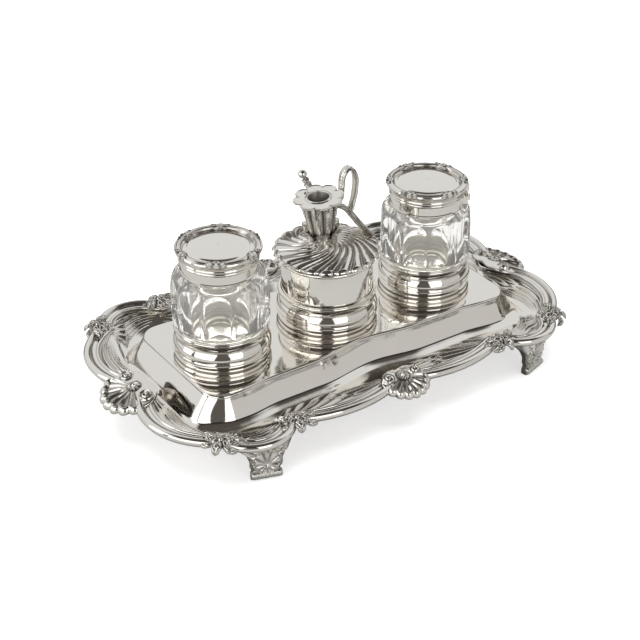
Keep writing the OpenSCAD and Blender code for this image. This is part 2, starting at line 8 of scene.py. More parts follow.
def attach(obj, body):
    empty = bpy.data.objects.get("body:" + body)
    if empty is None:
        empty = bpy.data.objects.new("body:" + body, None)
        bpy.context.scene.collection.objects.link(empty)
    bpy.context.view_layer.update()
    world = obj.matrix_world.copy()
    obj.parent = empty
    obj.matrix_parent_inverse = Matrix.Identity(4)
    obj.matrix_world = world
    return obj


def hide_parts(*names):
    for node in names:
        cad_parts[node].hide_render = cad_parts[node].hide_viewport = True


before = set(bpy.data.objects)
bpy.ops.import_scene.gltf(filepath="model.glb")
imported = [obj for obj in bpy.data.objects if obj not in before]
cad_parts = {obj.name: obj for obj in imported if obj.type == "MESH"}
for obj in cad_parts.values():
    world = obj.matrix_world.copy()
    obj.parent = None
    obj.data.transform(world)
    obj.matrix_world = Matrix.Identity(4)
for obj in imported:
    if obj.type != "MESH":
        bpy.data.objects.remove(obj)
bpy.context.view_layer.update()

# ---- Tray well --------------------------------------------------------
# The sunk floor of the tray, one raised sheet of silver between the platform
# and the moulded border. Swirled flutes are chased into it beside each of the
# leaf clusters, and it is polished like a mirror everywhere else.


class Wire:
    """A value on its way through a material's nodes. Sums, differences and
    products of wires add Math nodes."""

    def __init__(self, nodes, socket=None):
        self.nodes, self.socket = nodes, socket

    def add(self, kind, inputs=(), out=0, **settings):
        """A new node of any kind, with its inputs by name or number. Returns
        one of its outputs."""
        node = self.nodes.new("ShaderNode" + kind)
        for key, value in settings.items():
            setattr(node, key, value)
        for key, value in dict(inputs).items():
            if isinstance(value, Wire):
                self.nodes.id_data.links.new(value.socket, node.inputs[key])
            else:
                node.inputs[key].default_value = value
        return Wire(self.nodes, node.outputs[out] if node.outputs else None)

    def also(self, out):
        """Another output of the same node."""
        return Wire(self.nodes, self.socket.node.outputs[out])

    def maths(self, operation, *values):
        """One Math node on these values."""
        return self.add("Math", dict(enumerate(values)), operation=operation)

    def blend(self, low, high):
        """The colour low where this value is 0, and high where it is 1."""
        return self.add("Mix", {0: self, 6: low, 7: high}, out=2, data_type="RGBA")

    def __add__(self, other):
        return self.maths("ADD", self, other)

    def __sub__(self, other):
        return self.maths("SUBTRACT", self, other)

    def __rsub__(self, other):
        return self.maths("SUBTRACT", other, self)

    def __mul__(self, other):
        return self.maths("MULTIPLY", self, other)

    __radd__, __rmul__ = __add__, __mul__


def emptied(owner):
    """Clears the nodes of a material or a world. Returns the wire that its
    first nodes are added from."""
    owner.use_nodes = True
    owner.node_tree.nodes.clear()
    return Wire(owner.node_tree.nodes)


def noise(place, scale, detail, roughness=0.5):
    """Cloudy shares from 0 to 1, so many waves to the metre."""
    return place.add("TexNoise", {
        "Vector": place, "Scale": scale, "Detail": detail, "Roughness": roughness}, out="Fac")


tarnish = (0.975, 0.925, 0.86)


def silver(name, clean, oxide, rough, wave):
    """Silver with its clean colour, its oxide's, its roughness and how much its mirrors wave. The piece's own
    "hollow" attribute is 1 down in its recesses, where the oxide stays; at the foot of each gallery and in
    the stem's slot it is painted shade instead. A broad noise warms and dulls it."""
    material = bpy.data.materials.new(name)
    start = emptied(material)
    place = start.add("TexCoord", out="Object")
    hollow = start.add("Attribute", out="Fac", attribute_name="hollow")
    cloud, fine = noise(place, 38, 3, 0.6), noise(place, 900, 4, 0.7)
    warm = tuple(c * w for c, w in zip(clean, tarnish))
    tint = (cloud * 0.55).blend(clean + (1,), warm + (1,))
    # Oxide in the recesses, and painted shade at the gallery feet and the stem's slot.
    colour = (hollow * (0.6 + 0.4 * fine)).blend(tint, oxide + (1,))
    ripple = start.add("Bump", {"Height": cloud, "Strength": wave, "Distance": 0.0012})
    grain = start.add("Bump", {
        "Height": fine, "Strength": 0.10, "Distance": 0.00004, "Normal": ripple})
    shader = start.add("BsdfPrincipled", {
        "Base Color": colour, "Metallic": 1.0, "Normal": grain,
        "Roughness": rough + 0.05 * cloud + 0.30 * hollow})
    start.add("OutputMaterial", {"Surface": shader})
    return material


mirror_silver = silver("mirror_silver", (0.925, 0.907, 0.868), (0.13, 0.105, 0.08), 0.045, 0.10)

end_notch, corner_notch, side_notch, front_notch = (150, 0), (137, 83), (84, 89), (0, 89)
end_bulge, corner_bulge, side_bulge = 21, 17, 10
end_steps, corner_steps, side_steps = 44, 30, 46
deck_len, deck_wid, deck_corner = 246, 103, 14
deck_swell, swell_from, swell_over = 2.8, 0.31, 0.11
deck_waist, waist_share = 5.2, 0.17
deck_z, deck_rise, deck_flare = 38, 18, 13
well_z = deck_z - deck_rise
border_base_z, border_width, border_lap = 26.1, 12, 3
sheet_metal = 1.3


def held(u):
    """u, or the nearer of 0 and 1 where it lies outside them."""
    return np.clip(u, 0, 1)


def smooth(u):
    """3 u^2 - 2 u^3, held at 0 below u = 0 and at 1 above u = 1."""
    u = held(u)
    return u * u * (3 - 2 * u)


def mix(a, b, u):
    """a where u is 0, b where it is 1, and straight between."""
    return a + (b - a) * u


def arc(a, b, swell, n):
    """n points of the circular arc from a to b, which swells to the right of
    the way there, or to the left where swell is negative. b is left out."""
    a, b = np.array(a, float), np.array(b, float)
    d = b - a
    span = np.hypot(*d)
    out = np.array([d[1], -d[0]]) / span
    r = (span ** 2 / 4 + swell ** 2) / (2 * swell)
    centre = (a + b) / 2 - out * (r - swell)
    start = np.arctan2(*((a - centre) / r)[::-1])
    t = start + 2 * np.arcsin(span / 2 / r) * np.arange(n) / n
    return centre + r * np.stack([np.cos(t), np.sin(t)], 1)


def whole(quarter, last):
    """A quarter outline, from the +X axis to the +Y axis, mirrored into all."""
    q = np.vstack([quarter, last])
    back = q[-2:0:-1]
    return np.vstack([q, back * (-1, 1), -q, back * (1, -1)])


def outward(outline, soften=0):
    """Unit normals of a closed outline, softened over so many points."""
    q = np.roll(outline, -1, 0) - np.roll(outline, 1, 0)
    out = np.stack([q[:, 1], -q[:, 0]], 1)
    for _ in range(soften):
        out = (np.roll(out, 1, 0) + out * 2 + np.roll(out, -1, 0)) / 4
    return out / np.hypot(out[:, :1], out[:, 1:])


def deck_half(x):
    """Half width of the deck: swollen at its ends, drawn in at its waist."""
    x = x / deck_len
    return (deck_wid / 2 - deck_swell * (1 - smooth((x - swell_from) / swell_over))
            - deck_waist * (1 - smooth(x / waist_share)))


rim = whole(np.vstack([arc(end_notch, corner_notch, end_bulge, end_steps),
                       arc(corner_notch, side_notch, corner_bulge, corner_steps),
                       arc(side_notch, front_notch, side_bulge, side_steps)]), front_notch)
rim_out = outward(rim, 10)

half_x, half_y = deck_len / 2, deck_wid / 2
quarter_turn = np.arange(corner_steps) / corner_steps * np.pi / 2
flank = (half_x - deck_corner) * (1 - np.arange(side_steps) / side_steps)
deck = whole(np.vstack([
    np.column_stack([np.full(end_steps, half_x), (half_y - deck_corner) * np.arange(end_steps) / end_steps]),
    np.column_stack([half_x - deck_corner + deck_corner * np.cos(quarter_turn),
                     half_y - deck_corner + deck_corner * np.sin(quarter_turn)]),
    np.column_stack([flank, deck_half(flank)])]), (0, deck_half(0)))
deck_out = outward(deck, 3)


def sheet(grid, loop=False, capped=False, hollow=0):
    """A grid of points in millimetres, rows x columns x 3, as a skin of quads
    between neighbours. Columns run counter-clockwise, the last one joins the
    first, and rows run up the outside, so that faces point out. With loop the
    last row joins the first. Capped, a fan from the middle of its row closes
    each end."""
    rows, columns = grid.shape[:2]
    i, j = np.indices((rows if loop else rows - 1, columns)).reshape(2, -1)
    up, on = (i + 1) % rows * columns, (j + 1) % columns
    quads = np.stack([i * columns + j, i * columns + on, up + on, up + j], 1)
    points = [grid.reshape(-1, 3)]
    depth = [np.broadcast_to(hollow, (rows, columns)).ravel()]
    fans, size = [], rows * columns
    c = np.arange(columns)
    for row, turn in ((0, -1), (rows - 1, 1)) if capped else ():
        edge = np.stack([np.full(columns, size), row * columns + c, row * columns + (c + 1) % columns], 1)
        fans.append(edge[:, ::turn])
        points.append(grid[row].mean(0)[None])
        depth.append(depth[0].reshape(rows, columns)[row].mean()[None])
        size += 1
    fans = np.vstack(fans) if fans else np.zeros((0, 3), int)
    return np.vstack(points), quads, fans, np.concatenate(depth)


scene = bpy.context.scene


def placed(name, data):
    """A new object in the scene, made of this data."""
    thing = bpy.data.objects.new(name, data)
    scene.collection.objects.link(thing)
    return thing


def make(name, sheets, finish, body, node, crease=50):
    """One mesh object from all its sheets, with its finish. It rides on its body and stands for the CAD's
    node."""
    points = np.vstack([s[0] for s in sheets]) / 1000
    starts = np.cumsum([0] + [len(s[0]) for s in sheets])
    quads = np.vstack([s[1] + k for s, k in zip(sheets, starts)])
    fans = np.vstack([s[2] + k for s, k in zip(sheets, starts)])
    mesh = bpy.data.meshes.new(name)
    mesh.vertices.add(len(points))
    mesh.vertices.foreach_set("co", points.ravel())
    mesh.loops.add(quads.size + fans.size)
    mesh.loops.foreach_set("vertex_index", np.concatenate([quads.ravel(), fans.ravel()]))
    mesh.polygons.add(len(quads) + len(fans))
    mesh.polygons.foreach_set("loop_start", np.concatenate(
        [np.arange(len(quads)) * 4, quads.size + np.arange(len(fans)) * 3]))
    mesh.update(calc_edges=True)
    mesh.validate()
    mesh.attributes.new("hollow", "FLOAT", "POINT").data.foreach_set(
        "value", np.concatenate([s[3] for s in sheets]).astype(np.float32))
    mesh.shade_smooth()
    mesh.set_sharp_from_angle(angle=math.radians(crease))
    mesh.materials.append(finish)
    piece = placed(name, mesh)
    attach(piece, body)
    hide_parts(node)


# Strokes chased beside each cluster: they leave it bunched under the border,
# run along the border and spread into the well as they fade. Two short ones
# start beside each cast shell.
stroke_root, stroke_spread, stroke_slope, stroke_stain = 1.7, 0.13, 0.15, 0.42
rim_length = np.concatenate([[0], np.cumsum(np.hypot(*np.diff(rim, axis=0).T))])
rim_round = rim_length[-1] + np.hypot(*(rim[0] - rim[-1]))
well_foot, well_lip = deck + deck_out * deck_flare, rim + rim_out * (border_lap - border_width)
well_depth = np.hypot(*(well_lip - well_foot).T)
lip_z = border_base_z + sheet_metal + 0.4
well_rows, bowl_share, bowl_power = 91, 0.85, 1.25
mirrored_quarters = ((-1, -1), (-1, 1), (1, -1), (1, 1))


def along_rim(quarter_points):
    """Distance along the rim to the nearest of these points and their mirror
    images, for each column."""
    nearest = np.full(len(rim), rim_round)
    for point in quarter_points:
        for signs in mirrored_quarters:
            at = np.argmin(np.hypot(*(rim - np.multiply(point, signs)).T))
            off = np.abs(rim_length - rim_length[at])
            nearest = np.minimum(nearest, np.minimum(off, rim_round - off))
    return nearest


from_cluster, from_shell = along_rim((corner_notch, side_notch)), along_rim((end_notch, front_notch))


def strokes(u, away, count, grown, fade_from, fade):
    """A cosine over the depth below the border, whose pitch opens with the
    distance from its root. Only so many waves are cut. Returns the height
    and the share of stain, which is left down in them."""
    pitch_here = stroke_root + stroke_spread * away
    phase = (1 - u) * well_depth / pitch_here
    window = smooth(phase / 0.5) * smooth((count - phase) / 0.9) * smooth(away / grown)
    window = window * (1 - smooth((away - fade_from) / fade)) * smooth(u / 0.15)
    wave = np.cos(2 * np.pi * phase)
    return stroke_slope * pitch_here * wave * window, stroke_stain * (0.62 - 0.38 * wave) * window


def rounded(outline, rounds):
    """A closed outline with its corners rounded by averaging neighbours."""
    for _ in range(rounds):
        outline = (np.roll(outline, 1, 0) + outline * 2 + np.roll(outline, -1, 0)) / 4
    return outline


# The well's rows run from the platform's foot to the border. Their notches
# are rounded until close to the border, so that no crease runs down from them.
from_foot = np.linspace(0, 1, well_rows)[:, None]
lip_here = mix(rounded(well_lip, 16), well_lip, smooth((from_foot - 0.72) / 0.28)[..., None])
plan = mix(well_foot, lip_here, from_foot[..., None])
bowl = mix(well_z, lip_z, mix(smooth(from_foot), from_foot ** bowl_power, bowl_share))
cluster_cut, cluster_stain = strokes(from_foot, from_cluster, count=6.6, grown=9, fade_from=40, fade=26)
shell_cut, shell_stain = strokes(from_foot, from_shell, count=4.4, grown=10, fade_from=24, fade=20)
well_top = np.dstack([plan, bowl + cluster_cut + shell_cut])
well_under = well_top[::6] - (0, 0, sheet_metal)
stain = cluster_stain + shell_stain
make("tray_floor", [sheet(np.vstack([well_under, well_top[::-1]]), capped=True,
                          hollow=np.vstack([0 * stain[::6], stain[::-1]]))],
     mirror_silver, "tray", "tray_well")

# ---- Platform ---------------------------------------------------------
# The raised deck that carries the bottles and the box. It is hammered up from
# one sheet, flares out in a hollow curve down to the well, and is soldered
# there. The space for arms on its front is left plain.


def flowing(points, n):
    """n points evenly spread by number along a smooth curve through all the
    points given: each stretch is the Catmull-Rom cubic of its neighbours."""
    p = np.array(points, float)
    p = np.vstack([2 * p[0] - p[1], p, 2 * p[-1] - p[-2]])
    t = np.linspace(0, len(p) - 3, n)
    k = np.minimum(t.astype(int), len(p) - 4)
    f = (t - k)[:, None]
    a, b, c, d = p[k], p[k + 1], p[k + 2], p[k + 3]
    return (b + f * (c - a) / 2 + f ** 2 * (a - 2.5 * b + 2 * c - d / 2)
            + f ** 3 * (1.5 * (b - c) + (d - a) / 2))


# Out from the deck's edge and down from its top, as shares of flare and rise.
# The long faces are steep above a quick flare, and the ends slope evenly.
face_rows, edge_share = 46, 0.08
steep = flowing([(1, 1), (0.60, 0.90), (0.41, 0.74), (0.24, 0.52), (0.10, 0.29), (0, edge_share)], face_rows)
even = flowing([(1, 1), (0.82, 0.90), (0.65, 0.74), (0.44, 0.52), (0.21, 0.29), (0, edge_share)], face_rows)
endness = smooth(np.abs(outward(deck, 6)[:, :1]) ** 3)


def raised(outline, z):
    """The plane outline at this height."""
    return np.column_stack([outline, np.broadcast_to(z, len(outline))])


def down_face(k, inset=0.0, lower=0.0):
    """The outline at step k of the face, moved so far in and so far down."""
    out = mix(steep[k, 0], even[k, 0], endness)
    return raised(deck + deck_out * (deck_flare * out - inset), deck_z - deck_rise * steep[k, 1] - lower)


inside = [raised(deck - deck_out * 3, deck_z - sheet_metal)]
inside += [down_face(k, sheet_metal * 1.6, sheet_metal / 2) for k in range(face_rows - 4, 4, -7)]
inside += [raised(deck + deck_out * (deck_flare - 2 * sheet_metal), well_z)]
outside = [down_face(k) for k in range(face_rows)]
edge_turn = arc((0, -deck_rise * edge_share), (-1.5, 0), 0.42, 8)
outside += [raised(deck + deck_out * d, deck_z + z)
            for d, z in np.vstack([edge_turn[1:], [(-1.5, 0), (-4, 0), (-12, 0)]])]
make("raised_deck", [sheet(np.array(inside + outside), capped=True)],
     mirror_silver, "tray", "platform")

# ---- Border moulding --------------------------------------------------
# A cast and filed moulding soldered round the tray: a bold rounded bead at
# the outer edge, a deep groove, and two fine reeds towards the well.


def stained(*stretches):
    """A section made of stretches that follow each other, and the oxide left
    on its points. Each stretch is its points, the oxide on the first of them
    and the oxide on the last of them. Those between are clean."""
    oxide = []
    for points, first, last in ((*stretch, ())[:3] for stretch in stretches):
        oxide += [*first, *[0] * (len(points) - len(first) - len(last)), *last]
    return np.vstack([stretch[0] for stretch in stretches]), np.array(oxide)[:, None]


border_silver = silver("border_silver", (0.90, 0.885, 0.855), (0.11, 0.092, 0.075), 0.07, 0.06)
# Out from the rim and up from the base, over the top from outside to inside
outer_bead = arc((-0.5, 1.0), (-5.2, 3.6), 3.3, 18)
groove = arc((-5.2, 3.6), (-5.9, 3.7), -0.35, 4)
cavetto = arc((-5.9, 3.7), (-8.7, 3.5), -0.5, 10)
reed = arc((-8.7, 3.5), (-10.6, 3.1), 0.95, 10)
well_side = [(-10.6, 3.1), (-12, 2.5), (-11.4, 0.6)]
section, oxide = stained(
    ([(-1.2, 0)], (0.4,)), (outer_bead, ()), (groove, (0.6, 0.9, 1, 0.9)), (cavetto, (0.5,), (0.5,)),
    (reed, (0.4,), (0.4,)), (well_side, (0.8, 0.3, 0.6)))
make("border", [sheet(np.array([raised(rim + rim_out * d, border_base_z + z) for d, z in section]), loop=True,
                      hollow=oxide)], border_silver, "tray", "border_moulding")

# ---- Shells over the border -------------------------------------------
# Four cast fans of lobes, each with a flower at its root and a scroll to each
# side. They are soldered over the border at the middle of each side, and
# droop a little outside it. Oxide is left in their hollows.
cast_silver = silver("cast_silver", (0.88, 0.865, 0.83), (0.032, 0.027, 0.022), 0.10, 0.02)
shell_lobes, shell_spread, shell_droop, shell_back = 7, 140, 14, -1.2
end_reach, side_reach = 24, 19
end_out, side_out = end_notch[0] + 2, front_notch[1] - 1
border_height = 5.5


def turned(points, axis, degrees):
    """The points turned about the X, Y or Z axis."""
    return points @ np.array(Matrix.Rotation(math.radians(degrees), 3, axis)).T


def bump(d, width):
    """exp(-(d / width)^2): 1 where the distance d is 0, gone by twice the width."""
    return np.exp(-(d / width) ** 2)


def arches(angle):
    """|sin|: a row of arches that meet in points, the first at angle 0."""
    return np.abs(np.sin(angle))


def ridges(angle):
    """|cos|: the same row, with the top of an arch at angle 0."""
    return np.abs(np.cos(angle))


def backed(top, hollow, back_z, middle):
    """A relief with a flat back: a ring under the row in the middle and one
    under the edge come before it, both dark."""
    back = top[[middle, 0]] * (1, 1, 0) + (0, 0, back_z)
    return np.vstack([back, top]), np.vstack([np.ones((2, top.shape[1])), hollow])


def shell(reach):
    """A fan in polar form round its root. Its edge is the lobes' arches in
    front and a smooth waist behind. Its height is a dome, with a rounded rib
    down each lobe, a raised margin, the flower and two spiral scrolls."""
    t = np.linspace(-180, 180, 360, endpoint=False)
    u = np.linspace(1, 0.02, 60)[:, None]
    front = np.abs(t) <= shell_spread / 2
    phase = shell_lobes * (t / shell_spread + 0.5)
    lobe = np.where(front, arches(np.pi * phase), 0)
    behind = (np.abs(t) - shell_spread / 2) / (360 - shell_spread)
    waist = 0.42 + 0.46 * ridges(np.pi * behind) ** 1.5
    edge = reach * np.where(front, 0.92 + 0.08 * lobe ** 0.8, waist)
    rho = u * edge
    x, y = rho * np.cos(np.radians(t)), rho * np.sin(np.radians(t))
    rib = (1 - lobe) ** 1.4 * front
    height = 0.6 + 1.7 * (1 - u ** 2) + 1.5 * smooth(u * 3) * rib * (1 - smooth((u - 0.82) / 0.1))
    height += (1.7 + 0.5 * lobe) * bump(u - 0.9, 0.08) * front
    flower = smooth(1.6 - rho / (2.9 + 0.9 * ridges(np.radians(2.5 * t))))
    height = mix(height, 3.4 + 1.4 * bump(rho, 1.3) - 0.9 * bump(rho - 2.0, 0.5), flower)
    hollow = (1 - rib) ** 2 * front * smooth((u - 0.1) * 5) * (1 - smooth((u - 0.72) / 0.12)) * 0.55
    hollow += 0.9 * bump(u - 0.79, 0.035) * front
    hollow = np.maximum(hollow, 0.9 * bump(rho - 4.6, 0.7) + 0.6 * bump(rho - 2.0, 0.4))
    for side in (-1, 1):
        cx, cy = -1.5, side * reach * 0.55
        away, round_it = np.hypot(x - cx, y - cy), np.arctan2(y - cy, (x - cx) * side)
        scroll = smooth((5.2 - away) / 1.2)
        coil = 0.5 + 0.5 * np.cos(2 * np.pi * (away / 2.3) - round_it)
        height = mix(height, 2.4 + 1.7 * coil * (1 - away / 9), scroll)
        hollow = mix(hollow, (1 - coil) ** 2, scroll)
    top = np.stack([x, y, height * smooth((1 - u) / 0.05 + 0.35)], 2)
    grid, deep = backed(top, held(hollow), shell_back, 50)
    return turned(grid, "Y", shell_droop) + (0, 0, border_base_z + 1 + border_height * 0.6), deep


for node, heading, out, reach in (
        ("right_shell", 0, end_out, end_reach), ("left_shell", 180, end_out, end_reach),
        ("back_shell", 90, side_out, side_reach), ("front_shell", -90, side_out, side_reach)):
    grid, deep = shell(reach)
    make("cast_" + node, [sheet(turned(grid + (out, 0, 0), "Z", heading), capped=True, hollow=deep)],
         cast_silver, "tray", node)

# ---- Leaf clusters ----------------------------------------------------
# Cast ties over the eight notches between the lobes of the border: a
# five-petalled flower, leaves that lie along the border to both sides and one
# that hangs outside. They hide the mitres of the border moulding.
leaf_rows, leaf_columns, flat_back, scroll_turns = 54, 20, -1.5, 1.6
cluster_z = border_base_z + border_height * 0.82


def dome(v):
    """A half circle's height over v, which is 1 at v = 0 and 0 from v = 1 on."""
    return np.sqrt(held(1 - v ** 2))


def swept(path, across, normal, half_width, thick, relief):
    """A leaf or strap carried along a path. At each point of the path its top
    runs from -1 to 1 across, with relief(share along, share across) for its
    height over the path in millimetres, and its back is flat. Both ends are
    closed. Returns the grid and the hollow left under the relief's highest."""
    s = np.linspace(0, 1, len(path))[:, None]
    v = np.cos(np.linspace(0, np.pi, leaf_columns))[None]
    top = relief(s, v)
    path, across, normal, half = path[:, None], across[:, None], normal[:, None], half_width[:, None]
    front = path + (half * v)[..., None] * across + np.maximum(top, 0.02)[..., None] * normal
    depth = thick * dome(v)
    back = (path + 0.98 * (half * v)[..., None] * across - depth[..., None] * normal)[:, ::-1]
    low = np.concatenate([held(1 - top / top.max()), np.full_like(top[:, 1:-1], 0.15)], 1)
    return np.concatenate([front, back[:, 1:-1]], 1), low


def unit(vectors):
    """Vectors of the same directions, one unit long."""
    return vectors / np.linalg.norm(vectors, axis=1)[:, None]


def leaf(path, up, half_width, height, thick=0.8, lobes=4, veins=0.45):
    """A carved leaf along a path: its width swells and tapers with notched
    lobes, and its face has a sunk midrib and grooves that slant to the lobes."""
    path = flowing(path, leaf_rows)
    along = unit(np.gradient(path, axis=0))
    across = unit(np.cross(up, along))
    normal = np.cross(along, across)
    s = np.linspace(0, 1, leaf_rows)
    body = np.sin(np.pi * (s * 0.94 + 0.05)) ** 0.6
    notch = 1 - 0.22 * (1 - arches(np.pi * lobes * s)) ** 2

    def relief(s, v):
        swell = np.sin(np.pi * (s * 0.96 + 0.02)) ** 0.5
        vein = arches(np.pi * (lobes * s + 1.1 * np.abs(v)))
        carved = (1 - veins * (1 - vein) ** 2) * (1 - 0.75 * bump(v, 0.13))
        return height * swell * dome(v) * carved

    grid, low = swept(path, across, normal, half_width * body * notch, thick * body[:, None], relief)
    return grid[:, ::-1], low[:, ::-1] ** 1.4


def circle(columns):
    """Angles once round, in radians."""
    return np.linspace(0, 2 * np.pi, columns, endpoint=False)


def polar(r, t, z):
    """The points at radius r, angle t and height z."""
    return np.stack(np.broadcast_arrays(r * np.cos(t), r * np.sin(t), z), -1)


def blossom(radius, petals, height, bud):
    """A flower in polar form: its edge is the petals' arches, each petal is a
    cupped dome with a groove to its neighbour, and a bud sits in the middle."""
    t = circle(120)
    petal = ridges(petals * t / 2)
    u = np.linspace(1, 0.03, 26)[:, None]
    rho = u * radius * (0.68 + 0.32 * petal ** 0.7)
    z = height * np.sin(np.pi * u * 0.92 + 0.1) ** 0.7 * (0.35 + 0.65 * petal ** 0.5)
    z = np.maximum(z, bud * dome(rho / (radius * 0.34)))
    hollow = held((1 - petal) * (u > 0.3) + bump(rho - radius * 0.36, radius * 0.08))
    return backed(polar(rho, t, z), hollow, flat_back, 12)


def set_down(grid, place, heading):
    """The grid turned to its heading, then moved to its place."""
    return turned(grid, "Z", heading) + place


def volute(radius, height, hand):
    """A rolled scroll in polar form: a spiral ridge that climbs to its eye."""
    t = circle(90)
    u = np.linspace(1, 0.03, 30)[:, None]
    coil = 0.5 + 0.5 * np.cos(2 * np.pi * scroll_turns * u - hand * t)
    z = height * (0.5 + 0.5 * (1 - u)) * (0.35 + 0.65 * coil) * smooth((1 - u) / 0.12 + 0.2)
    return backed(polar(u * radius, t, z), (1 - coil) ** 2, flat_back, 15)


def cluster():
    """One cluster in its own frame: X points outwards, Y along the border and
    Z up from the top of the border."""
    flower, deep = blossom(6.2, 5, 2.6, 3.4)
    parts = [(flower + (0.6, 0, 0), deep)]
    for side in (-1, 1):
        parts.append(leaf([(1.5, side * 3, 0.4), (0.4, side * 7, 1.6), (-2.2, side * 11, 0.9),
                           (-3.4, side * 14.5, -0.6)], (0, 0, 1), 3.1, 1.9))
        parts.append(leaf([(2, side * 2.5, 0), (5.4, side * 5.8, -0.2), (5.6, side * 9.5, -1.6),
                           (3, side * 12.5, -2.4)], (0.4, 0, 1), 2.2, 1.7, lobes=3))
        scroll, deep = volute(2.9, 2.6, side)
        parts.append((scroll + (-5.2, side * 4.4, -1.2), deep))
    parts.append(leaf([(2, 0, 0.6), (6, 0, 1.3), (9, 0, -0.9), (10, 0, -3.8)],
                      (0.5, 0, 1), 3.4, 1.8, lobes=3))
    parts.append(leaf([(-3, 0, 0.2), (-7, 0, -0.3), (-11, 0, -2.2)], (0, 0, 1), 2.8, 1.6, lobes=3))
    return parts


for node, (x, y), heading in (
        ("end_leaf_clusters", (136, 82.5), 35), ("side_leaf_clusters", side_notch, 75)):
    sheets = []
    for sx, sy in mirrored_quarters:
        turn = 90 - sx * 90 + sx * sy * heading
        sheets += [sheet(set_down(grid, (sx * x, sy * y, cluster_z), turn), capped=True, hollow=deep)
                   for grid, deep in cluster()]
    make("cast_" + node, sheets, cast_silver, "tray", node)

# ---- Feet -------------------------------------------------------------
# Four cast brackets under the border: a spreading head of leaves, a scallop
# shell on the face and a rolled toe on the table. They are soldered on, and
# carry the whole stand.
foot_x, foot_y, foot_turn, foot_top = 110.5, 93, 18, border_base_z + 0.6
head_half, toe_half, toe_z, foot_inset = 20.8, 10.8, 3.0, 1.5
shell_z, shell_r, fan_low = 14.4, 8.4, 3.5


def foot():
    """A bracket as closed sections at each height: the face is a relief over
    a plane and the back is nearly flat. Its outline sweeps in from the head
    to the neck and swells again round the shell and at the toe."""
    z = np.linspace(0, foot_top, 104)[:, None]
    v = np.sin(np.linspace(-np.pi / 2, np.pi / 2, 100))[None]
    share = z / foot_top
    half = mix(toe_half - 0.6, head_half, held((share - 0.5) / 0.5) ** 1.7)
    half = half + 0.35 * arches(np.pi * 4.2 * share)
    half = half + 0.6 * bump(z - shell_z, 5.0) - 1.2 * bump(z - 6.4, 1.6)
    x = half * v
    away, above_fan = np.hypot(x, z - shell_z), z - shell_z + fan_low
    fan = ridges(5.5 * np.arctan2(x, above_fan)) ** 0.6
    cup = smooth((shell_r - away) / 0.7)
    scallop = 2.4 + 1.5 * fan * smooth(np.hypot(x, above_fan) / shell_r)
    scallop = scallop + 1.2 * bump(np.hypot(x, above_fan + 1.1), 1.5)
    rim_wave = 0.55 + 0.45 * ridges(9 * np.arctan2(x, z - shell_z))
    rim_wave = 1.9 * bump(away - shell_r - 0.7, 0.9) * rim_wave
    spread = np.abs(x) / 6.2 - 1.5 * smooth((share - 0.45) / 0.5) * share
    leaves = 0.25 + 0.75 * ridges(np.pi * spread) ** 0.6
    leaves = leaves * (1.6 + 2.6 * smooth((share - 0.55) / 0.35))
    leaves = leaves * (1 - 0.45 * arches(np.pi * (z / 2.4 + np.abs(x) / 5)) ** 4)
    toe = 3.6 * dome(z / toe_z - 1)
    toe = toe * (0.84 + 0.16 * ridges(np.pi * x / 2.6))
    edge = dome(v)
    relief = np.maximum(mix(leaves, scallop, cup) + rim_wave, toe) * smooth(edge * 2.4)
    front = np.stack([x, -1.0 - relief - 1.6 * smooth((share - 0.7) / 0.3), z + 0 * x], 2)
    back_y = 2.2 + 3.4 * smooth((share - 0.45) / 0.5)
    back = np.stack([x * 0.96, back_y * smooth(edge * 3) + 0 * x, z + 0 * x], 2)[:, ::-1]
    deep = held(np.where(cup > 0.5, (1 - fan) ** 1.1, 1 - relief / 3.6)) ** 1.2
    return np.concatenate([front, back[:, 1:-1]], 1), np.concatenate([deep, np.full_like(x[:, 1:-1], 0.8)], 1)


# The circle that the corner lobe's outline follows
lobe_span = math.dist(corner_notch, side_notch)
lobe_r = (lobe_span ** 2 / 4 + corner_bulge ** 2) / (2 * corner_bulge)
lobe_middle = np.add(corner_notch, side_notch) / 2 - (lobe_r - corner_bulge) / lobe_span * np.array(
    [side_notch[1] - corner_notch[1], corner_notch[0] - side_notch[0]])


def under_lobe(grid, sx, sy):
    """The head is filed back where it would stand out past the border."""
    middle = lobe_middle * (sx, sy)
    off = grid[..., :2] - middle
    far = np.linalg.norm(off, axis=-1, keepdims=True)
    return np.concatenate([middle + off * np.minimum(1, (lobe_r - foot_inset) / far), grid[..., 2:]], -1)


for node, sx, sy in (("foot_front_left", -1, -1), ("foot_front_right", 1, -1),
                     ("foot_back_left", -1, 1), ("foot_back_right", 1, 1)):
    grid, deep = foot()
    grid = set_down(grid, (sx * foot_x, sy * foot_y, 0), 90 + sy * 90 - sx * sy * foot_turn)
    make("cast_" + node, [sheet(under_lobe(grid, sx, sy), capped=True, hollow=deep)],
         cast_silver, "tray", node)

# ---- Galleries --------------------------------------------------------
# Three moulded ring sockets, spun from sheet and soldered to the deck: two
# hold the bottles and the wider one holds the box. From the deck up they have
# a plinth, two rounded mouldings, a hollow and a reeded lip.
pitch, gallery_height, gallery_wall, play = 85, 22.4, 1.5, 0.3
bottle_socket, box_socket = 29.4 + play, 31.6 + play


def lathe(profile, columns=192):
    """A profile of radius and height, up the outside, spun round the Z axis."""
    profile = np.asarray(profile, float)
    return polar(profile[:, :1], circle(columns), profile[:, 1:])


def spun(profile, place, **kind):
    """The skin of a spun profile at its place."""
    return sheet(lathe(profile) + place, **kind)


